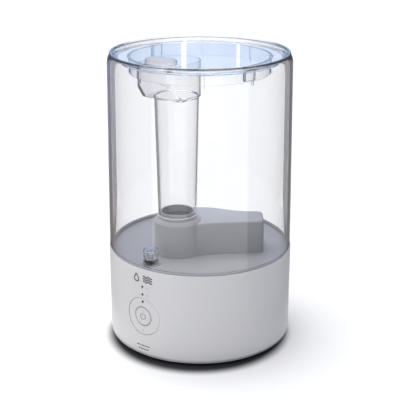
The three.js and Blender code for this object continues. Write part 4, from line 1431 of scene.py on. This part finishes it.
# %% Mist nozzle
foot_z, rim_z = nozzle_low.z, nozzle_high.z
nozzle_section = [
    (-0.3, foot_z), (0, foot_z + 0.3), (0, rim_z - 0.7), (-0.2, rim_z - 0.2), (-0.7, rim_z), (-1.0, rim_z),
    (-1.4, rim_z - 0.2), (-1.6, rim_z - 0.6), (-1.6, foot_z),
]
nozzle = skinned("frosted_nozzle", [upright(nozzle_outline(grow), z) for grow, z in nozzle_section])
baffle = rounded_box("baffle", (-27.2, -0.7, -6), (27.2, 0.7, 6), 0.6, 0.3)
baffle_place = Vector((TUBE[0], nozzle_high.y - 6.5, 297.6)) * MM
baffle.data.transform(Matrix.Translation(baffle_place) @ Matrix.Rotation(math.radians(-68), 4, "X"))
bore_outline = nozzle_outline(-1.2)
inside_nozzle = skinned(
    "inside_nozzle", [upright(bore_outline, foot_z + 0.2), upright(bore_outline, rim_z - 0.2)], ring=False
)
boolean(baffle, inside_nozzle, "INTERSECT")
join(nozzle, baffle)
dress(nozzle, frosted, "frosted_plastic", "lid", "mist_nozzle")

# %% [markdown]
# ## Studio
# A pale floor runs past the camera's view, so that it is the background as well. It is white where
# nothing stands, lit mostly by a broad sun above, and a painted contact shadow darkens its colour
# round the base. The world is two skies. Glass and gloss see a soft blue one. Opaque surfaces are
# lit by a plain fill that is dimmer at the right. Two dark cards at the sides draw the edges of the
# clear tank, and two pale strips far behind it give it highlights. Light that falls on an opaque
# surface doesn't meet the cards, because they would darken what stands in the tank.

# %% Floor
FLOOR_HALF = 7000
# Painted contact shadow: the floor's colour is near black inside a circle round the base, set a little
# towards the camera and to its left, and fades to white between two radii.
PAINTED_SHADOW_CENTRE = seen_from_camera(-2, -12)
PAINTED_SHADOW_RADII = (86, 101)
floor = mesh_object(
    "floor",
    [(x * FLOOR_HALF, y * FLOOR_HALF, 0) for x, y in ((-1, -1), (1, -1), (1, 1), (-1, 1))],
    [(0, 1, 2, 3)],
)
paper = Finish("paper")
place = paper.node("ShaderNodeTexCoord", out="Object")
reach = paper.node("ShaderNodeVectorMath", {"operation": "DISTANCE"}, {0: place, 1: PAINTED_SHADOW_CENTRE}, out="Value")
outside_painted_shadow = paper.node(
    "ShaderNodeMapRange",
    {"interpolation_type": "SMOOTHSTEP"},
    {"Value": reach / MM, "From Min": PAINTED_SHADOW_RADII[0], "From Max": PAINTED_SHADOW_RADII[1]},
)
# The floor's colour: painted shadow in near black close to the base, plain white beyond.
floor.data.materials.append(paper.surface(paper.principled(
    Base_Color=paper.mix(outside_painted_shadow, (0.03, 0.03, 0.03), (0.93, 0.93, 0.935)), Roughness=0.9,
)))

# %% World
world = bpy.data.worlds.new("studio")
bpy.context.scene.world = world
world.use_nodes = True
world.node_tree.nodes.clear()
sky = Nodes(world.node_tree)
direction = sky.node("ShaderNodeTexCoord", out="Generated")
up = sky.node("ShaderNodeSeparateXYZ", inputs={0: direction}, out="Z")
gradient = sky.node(
    "ShaderNodeValToRGB",
    {"stops": [
        (0.0, (0.62, 0.78, 1.0)), (0.3, (0.42, 0.62, 1.0)), (0.55, (0.5, 0.55, 0.65)), (1.0, (0.8, 0.8, 0.8)),
    ]},
    {"Fac": up},
)
leftwards = -seen_from_camera(1, 0) / MM
left = sky.node(
    "ShaderNodeVectorMath", {"operation": "DOT_PRODUCT"}, {0: direction, 1: leftwards}, out="Value"
)
fill = sky.node(
    "ShaderNodeValToRGB",
    {"stops": [(0.0, (0.10, 0.105, 0.19)), (0.45, (0.58, 0.58, 0.59)), (1.0, (1.2, 1.2, 1.2))]},
    {"Fac": left * 0.5 + 0.5},
)
seen = sky.node("ShaderNodeBackground", inputs={"Color": gradient, "Strength": 0.98})
lit = sky.node("ShaderNodeBackground", inputs={"Color": fill, "Strength": 1.0})


def after_diffuse(nodes):
    """1 for light that falls on an opaque surface, also through the tank, and 0 for what is seen directly."""
    depth = nodes.node("ShaderNodeLightPath", out="Diffuse Depth")
    return nodes.node("ShaderNodeMath", {"operation": "MINIMUM"}, {0: depth, 1: 1.0})


mixed = sky.node("ShaderNodeMixShader", inputs={0: after_diffuse(sky), 1: seen, 2: lit})
world_out = sky.tree.nodes.new("ShaderNodeOutputWorld")
sky.tree.links.new(mixed.socket, world_out.inputs["Surface"])


# %% Lights and cards
def sun(name, place, strength, spread):
    """A sun that shines on the origin from a place given as it lies for the camera."""
    lamp = bpy.data.lights.new(name, "SUN")
    lamp.energy = strength
    lamp.angle = math.radians(spread)
    made = bpy.data.objects.new(name, lamp)
    made.location = seen_from_camera(*place)
    made.rotation_euler = made.location.to_track_quat("Z", "Y").to_euler()
    bpy.context.scene.collection.objects.link(made)
    return made


def card(name, corners, low, high, shade_low, shade_high):
    """An upright card between two points, as they lie for the camera, seen only in glass and gloss."""
    (x0, y0), (x1, y1) = corners
    places = ((x0, y0, low), (x1, y1, low), (x1, y1, high), (x0, y0, high))
    made = mesh_object(name, [seen_from_camera(*place) / MM for place in places], [(0, 1, 2, 3)])
    paint = Finish(name)
    height = paint.node(
        "ShaderNodeSeparateXYZ", inputs={0: paint.node("ShaderNodeTexCoord", out="Object")}, out="Z"
    )
    shade = paint.mix((height / MM - low) / (high - low), shade_low, shade_high)
    shown = paint.node("ShaderNodeEmission", inputs={"Color": shade})
    hidden = paint.node("ShaderNodeBsdfTransparent", inputs={"Color": (1, 1, 1)})
    lighting = after_diffuse(paint)
    made.data.materials.append(paint.surface(
        paint.node("ShaderNodeMixShader", inputs={0: lighting, 1: shown, 2: hidden})
    ))
    made.visible_camera = made.visible_diffuse = made.visible_shadow = False
    return made


sun("overhead", (-150, 250, 1500), 1.8, 60)
card("left_edge_card", ((-118, -120), (-172, 420)), 0, 420, (0.19, 0.15, 0.12), (0.25, 0.28, 0.43))
card("right_edge_card", ((118, -120), (172, 420)), 0, 420, (0.17, 0.17, 0.175), (0.19, 0.19, 0.205))
STRIP_LIGHT = (1.2, 1.25, 1.3)
for strip, x0, x1 in (("wide_strip", -47, -34), ("thin_strip", 92, 100)):
    card(strip, ((x0, 1500), (x1, 1500)), 330, 1100, STRIP_LIGHT, STRIP_LIGHT)
bpy.context.scene.view_settings.view_transform = "Standard"
bounces = bpy.context.scene.cycles
bounces.max_bounces = bounces.transmission_bounces = bounces.transparent_max_bounces = 32
bounces.glossy_bounces = 8
